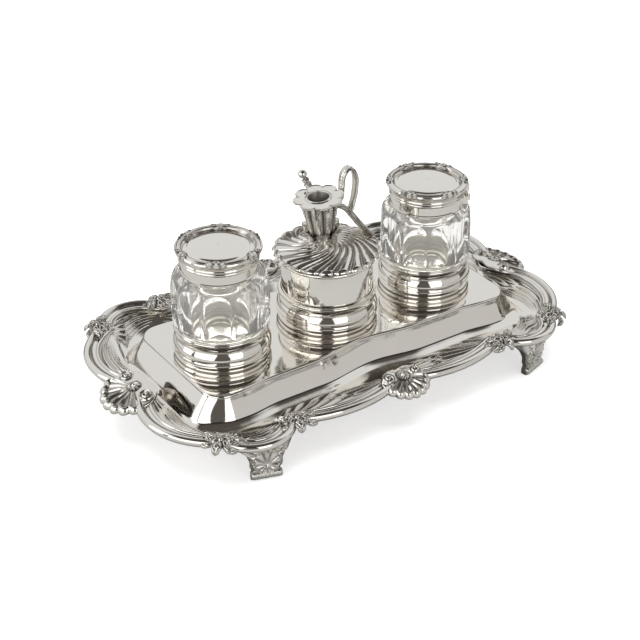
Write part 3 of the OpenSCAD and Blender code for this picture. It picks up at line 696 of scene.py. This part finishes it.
def gallery(inner):
    """Its section, closed on itself: out along the foot, up the mouldings as arcs and down the bore, with
    oxide in the corners between them. The full dark on the foot's outer edge is a painted contact shadow
    where it stands on the deck."""
    r, h = inner + gallery_wall, gallery_height
    return stained(
        # The foot's outer edge is full dark: a painted contact shadow on the deck.
        ([(inner, 0), (r + 0.9, 0), (r + 0.9, h * 0.03)], (0, 1, 1)),
        (arc((r + 0.7, h * 0.035), (r + 1.0, h * 0.155), -0.2, 8), (0.7,), (0.7,)),
        (arc((r + 1.7, h * 0.17), (r + 1.1, h * 0.325), 0.38, 14), (0.5,)),
        (arc((r + 2.0, h * 0.34), (r - 0.2, h * 0.63), 0.55, 22), (0.8,)),
        (arc((r - 0.4, h * 0.645), (r + 0.1, h * 0.86), -0.4, 14), (0.7, 0.4)),
        (arc((r + 0.4, h * 0.87), (r + 0.5, h * 0.93), 0.35, 7), (0.6,)),
        (arc((r + 0.5, h * 0.94), (r + 0.2, h * 0.995), 0.35, 7), (0.5,)),
        ([(r, h), (inner + 0.2, h), (inner, h - 0.3)], ()))


for node, at, inner in (("left_gallery", -pitch, bottle_socket), ("right_gallery", pitch, bottle_socket),
                        ("centre_gallery", 0, box_socket)):
    # oxide here also carries the painted contact shadow at each gallery's foot.
    section, oxide = gallery(inner)
    make(node + "_rings", [spun(section, (at, 0, deck_z), loop=True, hollow=oxide)],
         mirror_silver, "tray", node)

# ---- Ink bottles ------------------------------------------------------
# Two heavy blown bottles, cut with ten arched panels and ground to stand in
# their galleries. Each has a bore for the ink, and a silver collar with two
# hinge knuckles is cemented round its neck. The collars and pins are turned.


def crystal_glass():
    """Clear cut glass. The faint glow stands for the light that the facets
    scatter inside it."""
    material = bpy.data.materials.new("crystal_glass")
    start = emptied(material)
    place = start.add("TexCoord", out="Object")
    skin = start.add("Bump", {"Height": noise(place, 120, 2), "Strength": 0.05, "Distance": 0.0005})
    shader = start.add("BsdfPrincipled", {
        "Base Color": (0.99, 0.985, 0.965, 1), "Roughness": 0.0, "IOR": 1.34, "Transmission Weight": 0.95,
        "Emission Color": (1.0, 0.98, 0.94, 1), "Emission Strength": 0.02, "Normal": skin})
    start.add("OutputMaterial", {"Surface": shader})
    return material


def as_it_is(*nodes):
    """Nodes of the CAD that are shown as they are get their polish."""
    for node in nodes:
        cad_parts[node].data.materials.clear()
        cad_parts[node].data.materials.append(mirror_silver)


crystal = crystal_glass()
bottle_turn = {"left": 56, "right": -34}
bottle_sides = (("left", -pitch), ("right", pitch))
glass_foot_r, glass_r, shoulder, neck_r = 29.4, 32.8, 61.4, 23.6
well_r, mouth_r, glass_base, seat_gap = 20.5, 17, 9, 0.2
collar_top, lid_z, lid_height = 68.8, 69.2, 10.8
panels, panel_width, panel_deep, bevel_width, glass_columns = 10, 16.2, 1.8, 1.3, 440
glass_foot, panel_low, panel_spring = gallery_height + 0.8, gallery_height + 4.4, shoulder - 11.9


def bottle_outside():
    """The bottle's turned body as a grid by angle, with flats cut into it. In
    an arch's flat the surface is the plane panel_deep inside the body, and a
    bevel leads out to the body again."""
    body = flowing([
        (glass_foot_r, glass_foot), (glass_r - 1.4, glass_foot + 0.8), (glass_r - 0.4, glass_foot + 2.8),
        (glass_r, glass_foot + 8), (glass_r, shoulder - 16), (glass_r - 0.4, shoulder - 10),
        (glass_r - 1.2, shoulder - 5.4), (glass_r - 2.6, shoulder - 2.4), (glass_r - 5.4, shoulder - 0.4),
        (glass_r - 7, shoulder)], 115)
    t = circle(glass_columns)
    z, r = body[:, 1:], body[:, :1]
    off = (t + np.pi / panels) % (2 * np.pi / panels) - np.pi / panels
    flat_r = glass_r - panel_deep
    inside = panel_width / 2 - np.hypot(flat_r * np.tan(off), np.maximum(z - panel_spring, 0))
    cut = held(np.minimum(inside, z - panel_low) / bevel_width + 1)
    return polar(np.minimum(r, mix(r, flat_r / np.cos(off), cut)), t, z)


below = lathe([(0.4, seat_gap), (glass_foot_r - 0.8, seat_gap), (glass_foot_r, seat_gap + 0.8),
               (glass_foot_r, gallery_height)], glass_columns)
bore = lathe(np.vstack([
    [(neck_r, shoulder + 0.1), (neck_r, collar_top + 0.3), (neck_r - 0.4, collar_top + 0.8)],
    [(mouth_r + 0.5, collar_top + 0.8), (mouth_r, collar_top + 0.3), (mouth_r, shoulder - 3)],
    flowing([(mouth_r, shoulder - 3), (mouth_r + 1.6, shoulder - 6), (well_r, shoulder - 9)], 8)[1:],
    flowing([(well_r, glass_base + 4), (well_r - 0.8, glass_base + 1), (well_r - 3.5, glass_base)], 8),
    [(0.4, glass_base)]]), glass_columns)
bottle_body = np.vstack([below, bottle_outside(), bore])
for side, at in bottle_sides:
    make(side + "_bottle_crystal",
         [sheet(set_down(bottle_body, (at, 0, deck_z), bottle_turn[side]), capped=True)],
         crystal, side + "_bottle", side + "_glass", crease=24)
    as_it_is(side + "_collar", side + "_hinge_pin")

# ---- Hinged lids ------------------------------------------------------
# Each lid is spun: a reeded band, a rounded moulding and a nearly flat crown
# polished as a mirror. A cast edge of lobes with six little shells is
# soldered round it, and its knuckle turns between the collar's two.
lid_band_r, lid_edge_r, lid_shells, lid_sheet = 26.6, 28.6, 6, 1.2


def lid_section():
    """The lid's section, closed on itself: up the reeds, the moulding and the
    crown to the middle, and down again inside."""
    b, h = lid_band_r, lid_height
    crown = [(b - 2.8, h * 0.74), (b - 4.0, h * 0.765), (b - 5.6, h * 0.80), (b - 7.4, h * 0.865),
             (b * 0.5, h * 0.95), (0.4, h * 0.98)]
    lining = [(0.4, h - lid_sheet), (b / 2, h * 0.97 - lid_sheet), (b - 3, h * 0.72), (b - 1.4, h * 0.6)]
    return stained(
        ([(b - 1.4, 0), (b - 0.6, 0)], ()),
        (arc((b - 0.5, 0.05), (b - 0.5, h * 0.17), 0.5, 8), ()),
        (arc((b - 0.5, h * 0.18), (b - 0.4, h * 0.35), 0.5, 8), (0.8,)),
        (arc((b - 0.4, h * 0.37), (b + 0.3, h * 0.5), -0.3, 6), (0.7,)),
        (arc((b + 0.3, h * 0.52), (b + 0.6, h * 0.92), 1.0, 14), ()),
        (arc((b + 0.2, h * 0.93), (b - 2.6, h * 0.9), 0.5, 8), np.linspace(0, 0.5, 8)),
        (flowing(crown, 30), (0.5, 0.25)), (lining, (0.3,) * 4))


def lid_edge():
    """The cast edge as a ring of sections: its outside is six shallow lobes
    that meet in points, where the shells sit. Its top is a bead outside and a
    groove inside it, and each shell is a little fan of five ribs."""
    t = np.linspace(0, 360, 720, endpoint=False)
    step = 360 / lid_shells
    off = (t + step / 2) % step - step / 2
    lobe = arches(np.pi * off / step)
    outer = lid_edge_r - 0.9 + 1.0 * lobe ** 0.8 * (1.6 - 0.6 * lobe) + 1.1 * bump(off, 6)
    inner = lid_band_r - 3.1 - 1.4 * bump(off, 11)
    z0 = lid_height * 0.66
    u = np.concatenate([[0.0, 0.55], np.linspace(1, 0, 34)])[:, None]
    r = inner + (outer - inner) * u
    x, y = r - lid_edge_r + 1.9, r * np.radians(off)
    z = z0 + 1.7 + 0.9 * bump(u - 0.84, 0.17) - 0.5 * bump(u - 0.55, 0.10)
    z = z + 0.35 * bump(u - 0.36, 0.10) - 0.7 * smooth((0.16 - u) / 0.16)
    away = np.hypot(x, y * 0.66)
    ribs = ridges(3.51 * np.arctan2(y, x + 3.4))
    fan = smooth((4.3 - away) / 0.7)
    z = mix(z, z0 + 2.4 + ribs, fan) + 1.3 * bump(np.hypot(x, np.abs(y) - 6.4), 1.1)
    hollow = 0.9 * bump(u - 0.55, 0.10) + fan * (1 - ribs) ** 1.3 + 0.8 * bump(away - 4.3, 0.5)
    hollow = held(hollow)
    z[:2] = z0
    z[2] = np.minimum(z[2], z0 + 0.7)
    hollow[:2] = 1
    return polar(r, np.radians(t), z), hollow


edge_grid, edge_deep = lid_edge()
section, oxide = lid_section()
for side, at in bottle_sides:
    place = (at, 0, deck_z + lid_z)
    make(side + "_lid_crown", [spun(section, place, loop=True, hollow=oxide)],
         mirror_silver, side + "_lid", side + "_lid")
    make(side + "_lid_cast_edge",
         [sheet(set_down(edge_grid, place, bottle_turn[side]), loop=True, hollow=edge_deep)],
         cast_silver, side + "_lid", side + "_lid_border")
    as_it_is(side + "_lid_knuckle")

# ---- Wafer box --------------------------------------------------------
# A plain round box that lifts out of the middle gallery: a rolled wall, a
# flat base soldered into it and a half-round wire round its rim.
box_r, box_height, box_wall, rim_wire = 31.6, 46.8, 1.2, 1.5
box_place, box_bore = (0, 0, deck_z), box_r - box_wall
floor_top, rim_foot = seat_gap + box_wall, (box_r, box_height - 2 * rim_wire)
make("box_drum", [spun([(box_r, floor_top), (box_r, box_height - 0.1), (box_r - 0.05, box_height),
                        (box_bore + 0.3, box_height), (box_bore, box_height - 0.3), (box_bore, floor_top)],
                       box_place, loop=True)],
     mirror_silver, "wafer_box", "box_wall")
make("box_floor", [spun([(0.4, seat_gap), (box_r - 0.4, seat_gap), (box_r, seat_gap + 0.3),
                         (box_r, floor_top), (0.4, floor_top)], box_place, capped=True)],
     mirror_silver, "wafer_box", "box_base")
rim_top = (box_r, box_height)
section, oxide = stained(
    ([rim_foot], (0.9,)), (arc(rim_foot, rim_top, rim_wire, 14)[1:], (0.5, 0.25)), ([rim_top], ()))
make("box_rim", [spun(section, box_place, loop=True, hollow=oxide)],
     mirror_silver, "wafer_box", "box_rim_wire")

# ---- Taperstick cover -------------------------------------------------
# The box's cover is the foot of a small candlestick, chased with flutes that
# swirl out from the stem like the folds of a shell, to a cast lobed edge. A
# plain bezel below it drops inside the box.
cover_r, cover_rise, cover_edge_z, cover_sheet, cover_columns = 37.6, 8.6, 87.4, 1.2, 720
flutes, flute_height, flute_turn, stem_foot_r = 20, 2.2, 60, 7.4
broad_half, fine_middle, fine_half = 0.38, 0.88, 0.11


def cover_top():
    """The dome by share u of the way from stem to edge. Its folds leave the
    stem bunched towards one side and open out evenly round the edge. Each is
    a broad rounded rib with a fine one beside it and a sharp valley between,
    and ends in a curled tip over the beaded rim."""
    u = np.linspace(0, 1, 112)[:, None]
    t = circle(cover_columns)
    r = mix(stem_foot_r, cover_r, u)
    phase = (flutes * t / (2 * np.pi) + 0.22 * np.sin(np.pi * u)) % 1
    broad = dome((phase - broad_half) / broad_half) ** 0.8
    fine = 0.45 * dome((phase - fine_middle) / fine_half)
    fold = np.maximum(broad, fine)
    z = cover_edge_z + cover_rise * (1 - u ** 1.5)
    z = z + flute_height * smooth(u * 2.2) * (fold - 0.62) * (1 - 0.75 * smooth((u - 0.84) / 0.1))
    z = z + 1.1 * bump(u - 0.965, 0.022) + 0.5 * bump(u - 0.90, 0.03) * broad
    r = r - 1.3 * (1 - broad) * smooth((u - 0.80) / 0.18)
    hollow = (1 - fold) ** 1.6 * smooth(u * 8) * (1 - smooth((u - 0.9) / 0.05))
    hollow = held(hollow + 0.4 * bump(u - 0.93, 0.015) + 0.5 * (1 - smooth(u / 0.12)))
    return polar(r, t - np.radians(flute_turn) * smooth(u), z), hollow


top, deep = cover_top()
under = top[::8] - (0, 0, cover_sheet)
make("cover_swirls", [sheet(np.vstack([under, top[::-1]]), capped=True,
                            hollow=np.vstack([deep[::8] * 0 + 0.4, deep[::-1]]))],
     border_silver, "taperstick", "cover_shell")
as_it_is("cover_bezel")

# ---- Stem and calyx ---------------------------------------------------
# The stem is cast hollow as a cluster of eight petals that spread upwards,
# with a slot in its side for the taper to be freed. It leans a little, and
# long leaves wrap its foot where it is soldered to the cover.
stem_h, stem_r, stem_top_r, stem_lobes = 33.5, 7.8, 13.4, 8
stem_shift, stem_lean, stem_z, stem_columns = 3.6, 5.5, 94.6, 384
taper_r, taper_deep, nozzle_wall, nozzle_play, nozzle_floor = 7.25, 16, 0.9, 0.08, 1.2
nozzle_top = stem_h + seat_gap + 1.2
nozzle_low = nozzle_top - taper_deep - nozzle_floor
nozzle_r = taper_r + nozzle_wall
slot_turn, slot_low, slot_high, slot_half = -62, stem_h * 0.66, stem_h * 0.66 + 6.5, 1.6


def on_stem(grid):
    """The grid from the stem's own frame to its leaning place."""
    return turned(grid, "Y", -stem_lean) + (-stem_shift, 0, stem_z)


def stem_skin():
    """Rings of eight rounded petals that widen upwards. Where the slot is, the surface dips to the bore as a
    deep narrow window, painted dark as the shade inside the slot."""
    t = circle(stem_columns)
    u = np.linspace(0, 1, 90)[:, None]
    z, bore_r = stem_h * u, nozzle_r + nozzle_play
    petal = ridges(stem_lobes / 2 * t)
    r = mix(stem_r, stem_top_r, mix(smooth(u * 0.9), u, 0.45)) * (1 + 0.012 * np.cos(6 * np.pi * u))
    r = r * (1 - (0.09 + 0.05 * u) * (1 - petal ** 0.6))
    from_slot = t - np.radians(slot_turn)
    window = (smooth((slot_half - np.abs(r * np.sin(from_slot))) / 0.35) * (np.cos(from_slot) > 0)
              * smooth((z - slot_low) / 0.3) * smooth((slot_high - z) / 0.3))
    outer = polar(mix(r, bore_r + 0.05, window), t, z)
    # Oxide between the petals, and painted shade in the slot's window.
    hollow = held((1 - petal) ** 1.5 * 1.2 + window)
    bore = lathe([(bore_r, stem_h), (bore_r, nozzle_low - seat_gap)], stem_columns)
    return np.concatenate([outer, bore]), np.concatenate([hollow, np.full((2, stem_columns), 0.9)])


grid, deep = stem_skin()
make("petal_stem", [sheet(on_stem(grid), capped=True, hollow=deep)],
     cast_silver, "taperstick", "stem")

# Long and short leaves by turns: length, half width and how far the tip curls
calyx_leaves, calyx_kinds = 12, ((13, 5.6, 4.8), (8.5, 3.8, 5.2))
sheets = []
for k in range(calyx_leaves):
    length, wide, curl = calyx_kinds[k % 2]
    grid, deep = leaf([(stem_r + 1.6, 0, -1.4), (stem_r + 0.9, 0, 2.5), (stem_r + 1.3, 0, length * 0.55),
                       (stem_r + 1.8 + curl * 0.4, 0, length * 0.82), (stem_r + 1.5 + curl, 0, length)],
                      (1, 0, 0.25), wide, 1.3, thick=0.6, lobes=2, veins=0.12)
    grid = on_stem(turned(grid, "Z", 360 / calyx_leaves * k))
    sheets.append(sheet(grid, capped=True, hollow=deep))
make("calyx", sheets, cast_silver, "taperstick", "calyx_leaves")

# ---- Nozzle and drip pan ----------------------------------------------
# The nozzle is a drawn tube with a floor that drops into the stem, and lifts
# out for cleaning with its thin drip pan of eight petals.
pan_r, pan_sheet, pan_petals, pan_columns = 17.6, 1.2, 8, 480
taper_floor = nozzle_low + nozzle_floor
section, oxide = stained(
    ([(0.4, nozzle_low), (nozzle_r - 0.3, nozzle_low), (nozzle_r, nozzle_low + 0.3),
      (nozzle_r, nozzle_top - 0.25), (nozzle_r - 0.2, nozzle_top)], ()),
    ([(taper_r + 0.2, nozzle_top), (taper_r, nozzle_top - 0.25), (taper_r, taper_floor + 0.3),
      (taper_r - 0.3, taper_floor), (0.4, taper_floor)], (0.1, 0.8, 1, 1, 1)))
make("nozzle_liner", [sheet(on_stem(lathe(section)), capped=True, hollow=oxide)],
     cast_silver, "nozzle", "nozzle_tube")


def pan():
    """Eight petals in polar form, cupped a little between a raised edge and
    a bead round the hole, with a line cut down to each notch."""
    t = circle(pan_columns)
    petal = arches(pan_petals / 2 * t)
    u = np.linspace(1, 0, 40)[:, None]
    r = mix(nozzle_r, pan_r * (0.80 + 0.20 * petal ** 0.55), u)
    z = nozzle_top - 0.35 - 0.45 * np.sin(np.pi * u) + 0.3 * bump(u - 0.95, 0.05) + 0.35 * bump(u, 0.08)
    z = np.minimum(z - 0.3 * smooth((u - 0.6) / 0.3) * (1 - petal) ** 4, nozzle_top)
    hollow = held(0.8 * smooth((u - 0.62) / 0.3) * (1 - petal) ** 4 + 0.4 * bump(u - 0.1, 0.04))
    under = polar(r, t, nozzle_top - pan_sheet)[[-1, 20, 0]]
    return np.concatenate([under, polar(r, t, z)]), np.concatenate([np.full((3, pan_columns), 0.4), hollow])


grid, deep = pan()
make("petal_pan", [sheet(on_stem(grid), loop=True, hollow=deep)],
     mirror_silver, "nozzle", "drip_pan")

# ---- Handle -----------------------------------------------------------
# A cast finger ring that loops up beside the nozzle, and a long acanthus
# leaf that carries it down the side of the stem to the cover's edge.
handle_path = [(4, 31), (8.5, 33.2), (11.2, 37.5), (11.7, 43.5), (12, 49), (13.4, 53.8), (16.8, 56.4),
               (20.6, 54.4), (22.9, 49), (23.2, 43), (22.4, 36), (20.8, 29.5), (18.9, 23.3)]
strap_rows = 150
leaf_path = [(3, 33), (9, 31.5), (15, 27.6), (21, 20.5), (27, 12.5), (32, 6.5), (36, 2.6)]


def strap(path, width, thick, relief):
    """A strap along a path of x and height, across the Y axis, with its relief
    on the outer side of the bend and a plain rounded back."""
    path = flowing(path, strap_rows)
    path = np.stack([path[:, 0], 0 * path[:, 0], cover_edge_z + path[:, 1]], 1)
    across = np.broadcast_to((0.0, 1, 0), path.shape)
    normal = np.cross(unit(np.gradient(path, axis=0)), across)
    return swept(path, across, normal, width(np.linspace(0, 1, strap_rows)), thick, relief)


def ring_width(s):
    """Half width of the ring: fuller in the middle, with eight shallow lobes."""
    return 2.8 * (1 + 0.25 * np.sin(np.pi * s)) + 0.25 * arches(8 * np.pi * s)


def leaf_width(s):
    """Half width of the leaf: broader towards the cover, with five lobes."""
    return 3.6 * (1 + 0.9 * smooth(s)) * (1 + 0.2 * arches(5 * np.pi * s))


def ring_relief(s, v):
    """Two rounded edges with a row of beads between them."""
    beads = 0.72 + 0.28 * arches(30 * np.pi * s) ** 0.6 * bump(v, 0.5)
    return 1.4 * dome(v) * beads + 0.35 * bump(np.abs(v) - 0.72, 0.16)


def leaf_relief(s, v):
    """A sunk midrib with veins that slant out to the lobed margins."""
    vein = arches(np.pi * (5 * s - 0.9 * np.abs(v)))
    carved = (1 - 0.4 * (1 - vein) ** 2) * (1 - 0.6 * bump(v, 0.14))
    return 1.9 * dome(v) * carved * (1 - 0.3 * s)


for name, path, width, thick, relief, node in (
        ("finger_ring", handle_path, ring_width, 1.5, ring_relief, "ring_handle"),
        ("handle_acanthus", leaf_path, leaf_width, 2.4, leaf_relief, "handle_leaf")):
    grid, deep = strap(path, width, thick, relief)
    make(name, [sheet(grid, capped=True, hollow=deep ** 1.3)],
         cast_silver, "taperstick", node)

# ---- Extinguisher -----------------------------------------------------
# A small spun cone with a turned finial, hung on a tapered spike that stands
# on the cover. It lifts off the spike to put out the taper.
cone_h, cone_r, cone_lean, cone_wall, cone_tip_r, ball_r = 31, 8.2, 26, 0.8, 2.2, 2.9
cone_rows, cone_columns, finial_columns = 24, 96, 64
cone_foot = (15.8, 26, cover_edge_z + 10)


def on_spike(grid):
    """The grid from the extinguisher's own frame to its place on the spike."""
    return turned(grid, "Y", -cone_lean) + cone_foot


# Its wall is parted where lines are turned into it
wall = np.linspace((cone_r - 0.3, 1.5), (cone_tip_r + 0.1, cone_h - 1), cone_rows)
low_line, high_line = cone_rows - 13, cone_rows - 5
section, oxide = stained(
    ([(cone_r - cone_wall, 0)], ()), (arc((cone_r - 0.2, 0), (cone_r - 0.2, 1.4), 0.4, 8), ()),
    (wall[:low_line], (0.5, 0.5)), (wall[low_line:high_line], (0.5,)), (wall[high_line:], (0.5,)),
    ([(cone_tip_r - 0.3, cone_h), (0.3, cone_h), (0.3, cone_h - 1.2),
      (cone_tip_r - cone_wall, cone_h - 1.2)], ()))
make("snuffer_cone", [sheet(on_spike(lathe(section, cone_columns)), loop=True, hollow=oxide)],
     mirror_silver, "extinguisher", "extinguisher_cone")
# Its finial is a foot, a neck, a knop, a second neck and the ball
section, oxide = stained(
    ([(0.2, 0), (cone_tip_r + 0.4, 0)], (0, 0.1)),
    (arc((cone_tip_r + 0.4, 0), (cone_tip_r + 0.3, 0.9), 0.3, 4), np.linspace(0.2, 0.5, 4)),
    (arc((cone_tip_r, 1.0), (1.7, 3.2), -0.3, 8), np.linspace(0.6, 0.2, 5), (0.3, 0.4, 0.5)),
    (arc((1.8, 3.2), (1.8, 5.4), 0.9, 10), (0.6, 0.3), np.linspace(0, 0.7, 8)),
    ([(1.4, 6.0), (1.4, 7.2)], (0.8, 0.6)),
    (arc((1.2, 7.6), (0.2, 7.4 + 2 * ball_r), 2.4, 22), (0.4, 0.2)))
grid = on_spike(lathe(section, finial_columns) + (0, 0, cone_h))
make("snuffer_finial", [sheet(grid, capped=True, hollow=oxide)],
     cast_silver, "extinguisher", "extinguisher_finial")
as_it_is("extinguisher_spike")

# ---- Table, light and camera ------------------------------------------
# A plain pale table top in a white surround. The silver mirrors what stands
# round it: lit panels to both sides of the camera, a white reflector curved
# round the far side, and a dark room above and between them.
white, paper_grey, mirrored_grey = (1, 1, 1, 1), (0.86, 0.86, 0.86, 1), (0.50, 0.50, 0.49, 1)


def rise(value, low, high):
    """0 below low, 1 above high, and smooth between."""
    return value.add("MapRange", {0: value, 1: low, 2: high}, interpolation_type="SMOOTHSTEP")


def table_finish():
    """White paper that keeps the shadow. It is topped up for the camera and
    for the glass, the more the farther out, and so it meets the white
    surround. The silver sees it greyer."""
    material = bpy.data.materials.new("table_paper")
    start = emptied(material)
    path = start.add("LightPath")
    camera, mirrored, through = (path.also(kind) for kind in (
        "Is Camera Ray", "Is Glossy Ray", "Is Transmission Ray"))
    paper = start.add("BsdfDiffuse", {"Color": mirrored.blend(paper_grey, mirrored_grey)})
    place = start.add("TexCoord", out="Object")
    away = start.add("VectorMath", {0: place}, out="Value", operation="LENGTH")
    glow = start.add("Emission", {
        "Color": white, "Strength": camera * (0.58 + 0.45 * rise(away, 0.45, 1.1)) + 0.4 * through})
    start.add("OutputMaterial", {"Surface": start.add("AddShader", {0: paper, 1: glow})})
    return material


table_half = 3.0
table = bpy.data.meshes.new("table_top")
table.from_pydata([(x * table_half, y * table_half, 0) for x, y in ((-1, -1), (1, -1), (1, 1), (-1, 1))],
                  [], [(0, 1, 2, 3)])
table.materials.append(table_finish())
placed("table_top", table)

# The camera's place: its direction from the stand, and its distance in bottle pitches
around, above, distance = math.radians(-34.33), math.radians(31.22), 12.225
level = Vector((math.sin(around), -math.cos(around), 0))
back = level * math.cos(above) + Vector((0, 0, math.sin(above)))
right = Vector((math.cos(around), math.sin(around), 0))
up = back.cross(right)

room = bpy.data.worlds.new("studio")
scene.world = room
start = emptied(room)
split = start.add("SeparateXYZ", {0: start.add("TexCoord", out="Generated")})
east, north, height = (split.also(k) for k in range(3))
ahead = east * -math.sin(around) + north * math.cos(around)
aside = east * math.cos(around) + north * math.sin(around)
bearing = aside.maths("ARCTAN2", aside, 0 - ahead)


def band(value, low, high, soft):
    """1 between low and high, with edges that soft wide."""
    return rise(value, low - soft / 2, low + soft / 2) * (1 - rise(value, high - soft / 2, high + soft / 2))


# The bearing is in radians to the right of the camera, and the height is the
# sine of the elevation. The room is near black high up on the camera's side.
low_room, high_room = (0.105, 0.096, 0.086, 1), (0.030, 0.027, 0.025, 1)
far_room, ceiling = (0.13, 0.112, 0.096, 1), (0.085, 0.075, 0.066, 1)
gloom = rise(height, 0.55, 0.68).blend(low_room, high_room)
gloom = rise(height, 0.84, 0.94).blend(rise(ahead, -0.3, 0.8).blend(gloom, far_room), ceiling)
reflector_foot, reflector_top = 0.24 * rise(aside, -0.85, -0.55), 0.85
reflector = rise(bearing, 1.80, 1.92) + rise(0 - bearing, 1.24, 1.38)
reflector = reflector * band(height, reflector_foot, reflector_top, 0.07)
studio = reflector.blend(gloom, (0.735, 0.74, 0.74, 1))
path = start.add("LightPath")
camera_ray, through = path.also("Is Camera Ray"), path.also("Is Transmission Ray")
backdrop = camera_ray.blend(through.blend(studio, (0.84, 0.84, 0.82, 1)), white)
background = start.add("Background", {"Color": backdrop, "Strength": 1.0})
start.add("OutputWorld", {"Surface": background})


lamp_distance, stand_middle = 1.25, Vector((0, 0, 0.05))


def soft_box(name, bearing, lift, width, height, glow, mirrored=True):
    """A lamp that faces the stand. Seen from there it stands so many degrees
    to the right of the camera, so high and so wide, and as bright as glow."""
    b, e = math.radians(bearing), math.radians(lift)
    toward = (level * math.cos(b) + right * math.sin(b)) * math.cos(e) + Vector((0, 0, math.sin(e)))
    light = bpy.data.lights.new(name, "AREA")
    light.shape = "RECTANGLE"
    light.size, light.size_y = (2 * lamp_distance * math.tan(math.radians(a / 2)) for a in (width, height))
    light.energy = math.pi * light.size * light.size_y * glow
    lamp = placed(name, light)
    lamp.location = stand_middle + lamp_distance * toward
    lamp.rotation_euler = (-toward).to_track_quat("-Z", "Y").to_euler()
    lamp.visible_glossy = mirrored


soft_box("narrow_left_box", -77.5, 20, 23, 42, 1.3)
soft_box("wide_left_box", -37.5, 20, 45, 42, 1.3)
soft_box("right_box", 31, 20, 29, 42, 1.3)
soft_box("grey_side_panel", 72, 19, 52, 40, 0.46)
soft_box("overhead_fill", 180, 82, 62, 62, 2.6, mirrored=False)

focal_px, picture_px, sensor = 1485.5, 640, 36
aim = right * -0.055 + up * -0.071 + back * distance
lens = bpy.data.cameras.new("studio_camera")
lens.sensor_width, lens.lens = sensor, sensor * focal_px / picture_px
lens.clip_start, lens.clip_end = 0.01, 20
camera = placed("studio_camera", lens)
camera.location = (Vector((0, 0, deck_z)) + aim * pitch) / 1000
camera.rotation_euler = Matrix((right, up, back)).transposed().to_euler()
scene.camera = camera
scene.view_settings.view_transform = "Standard"
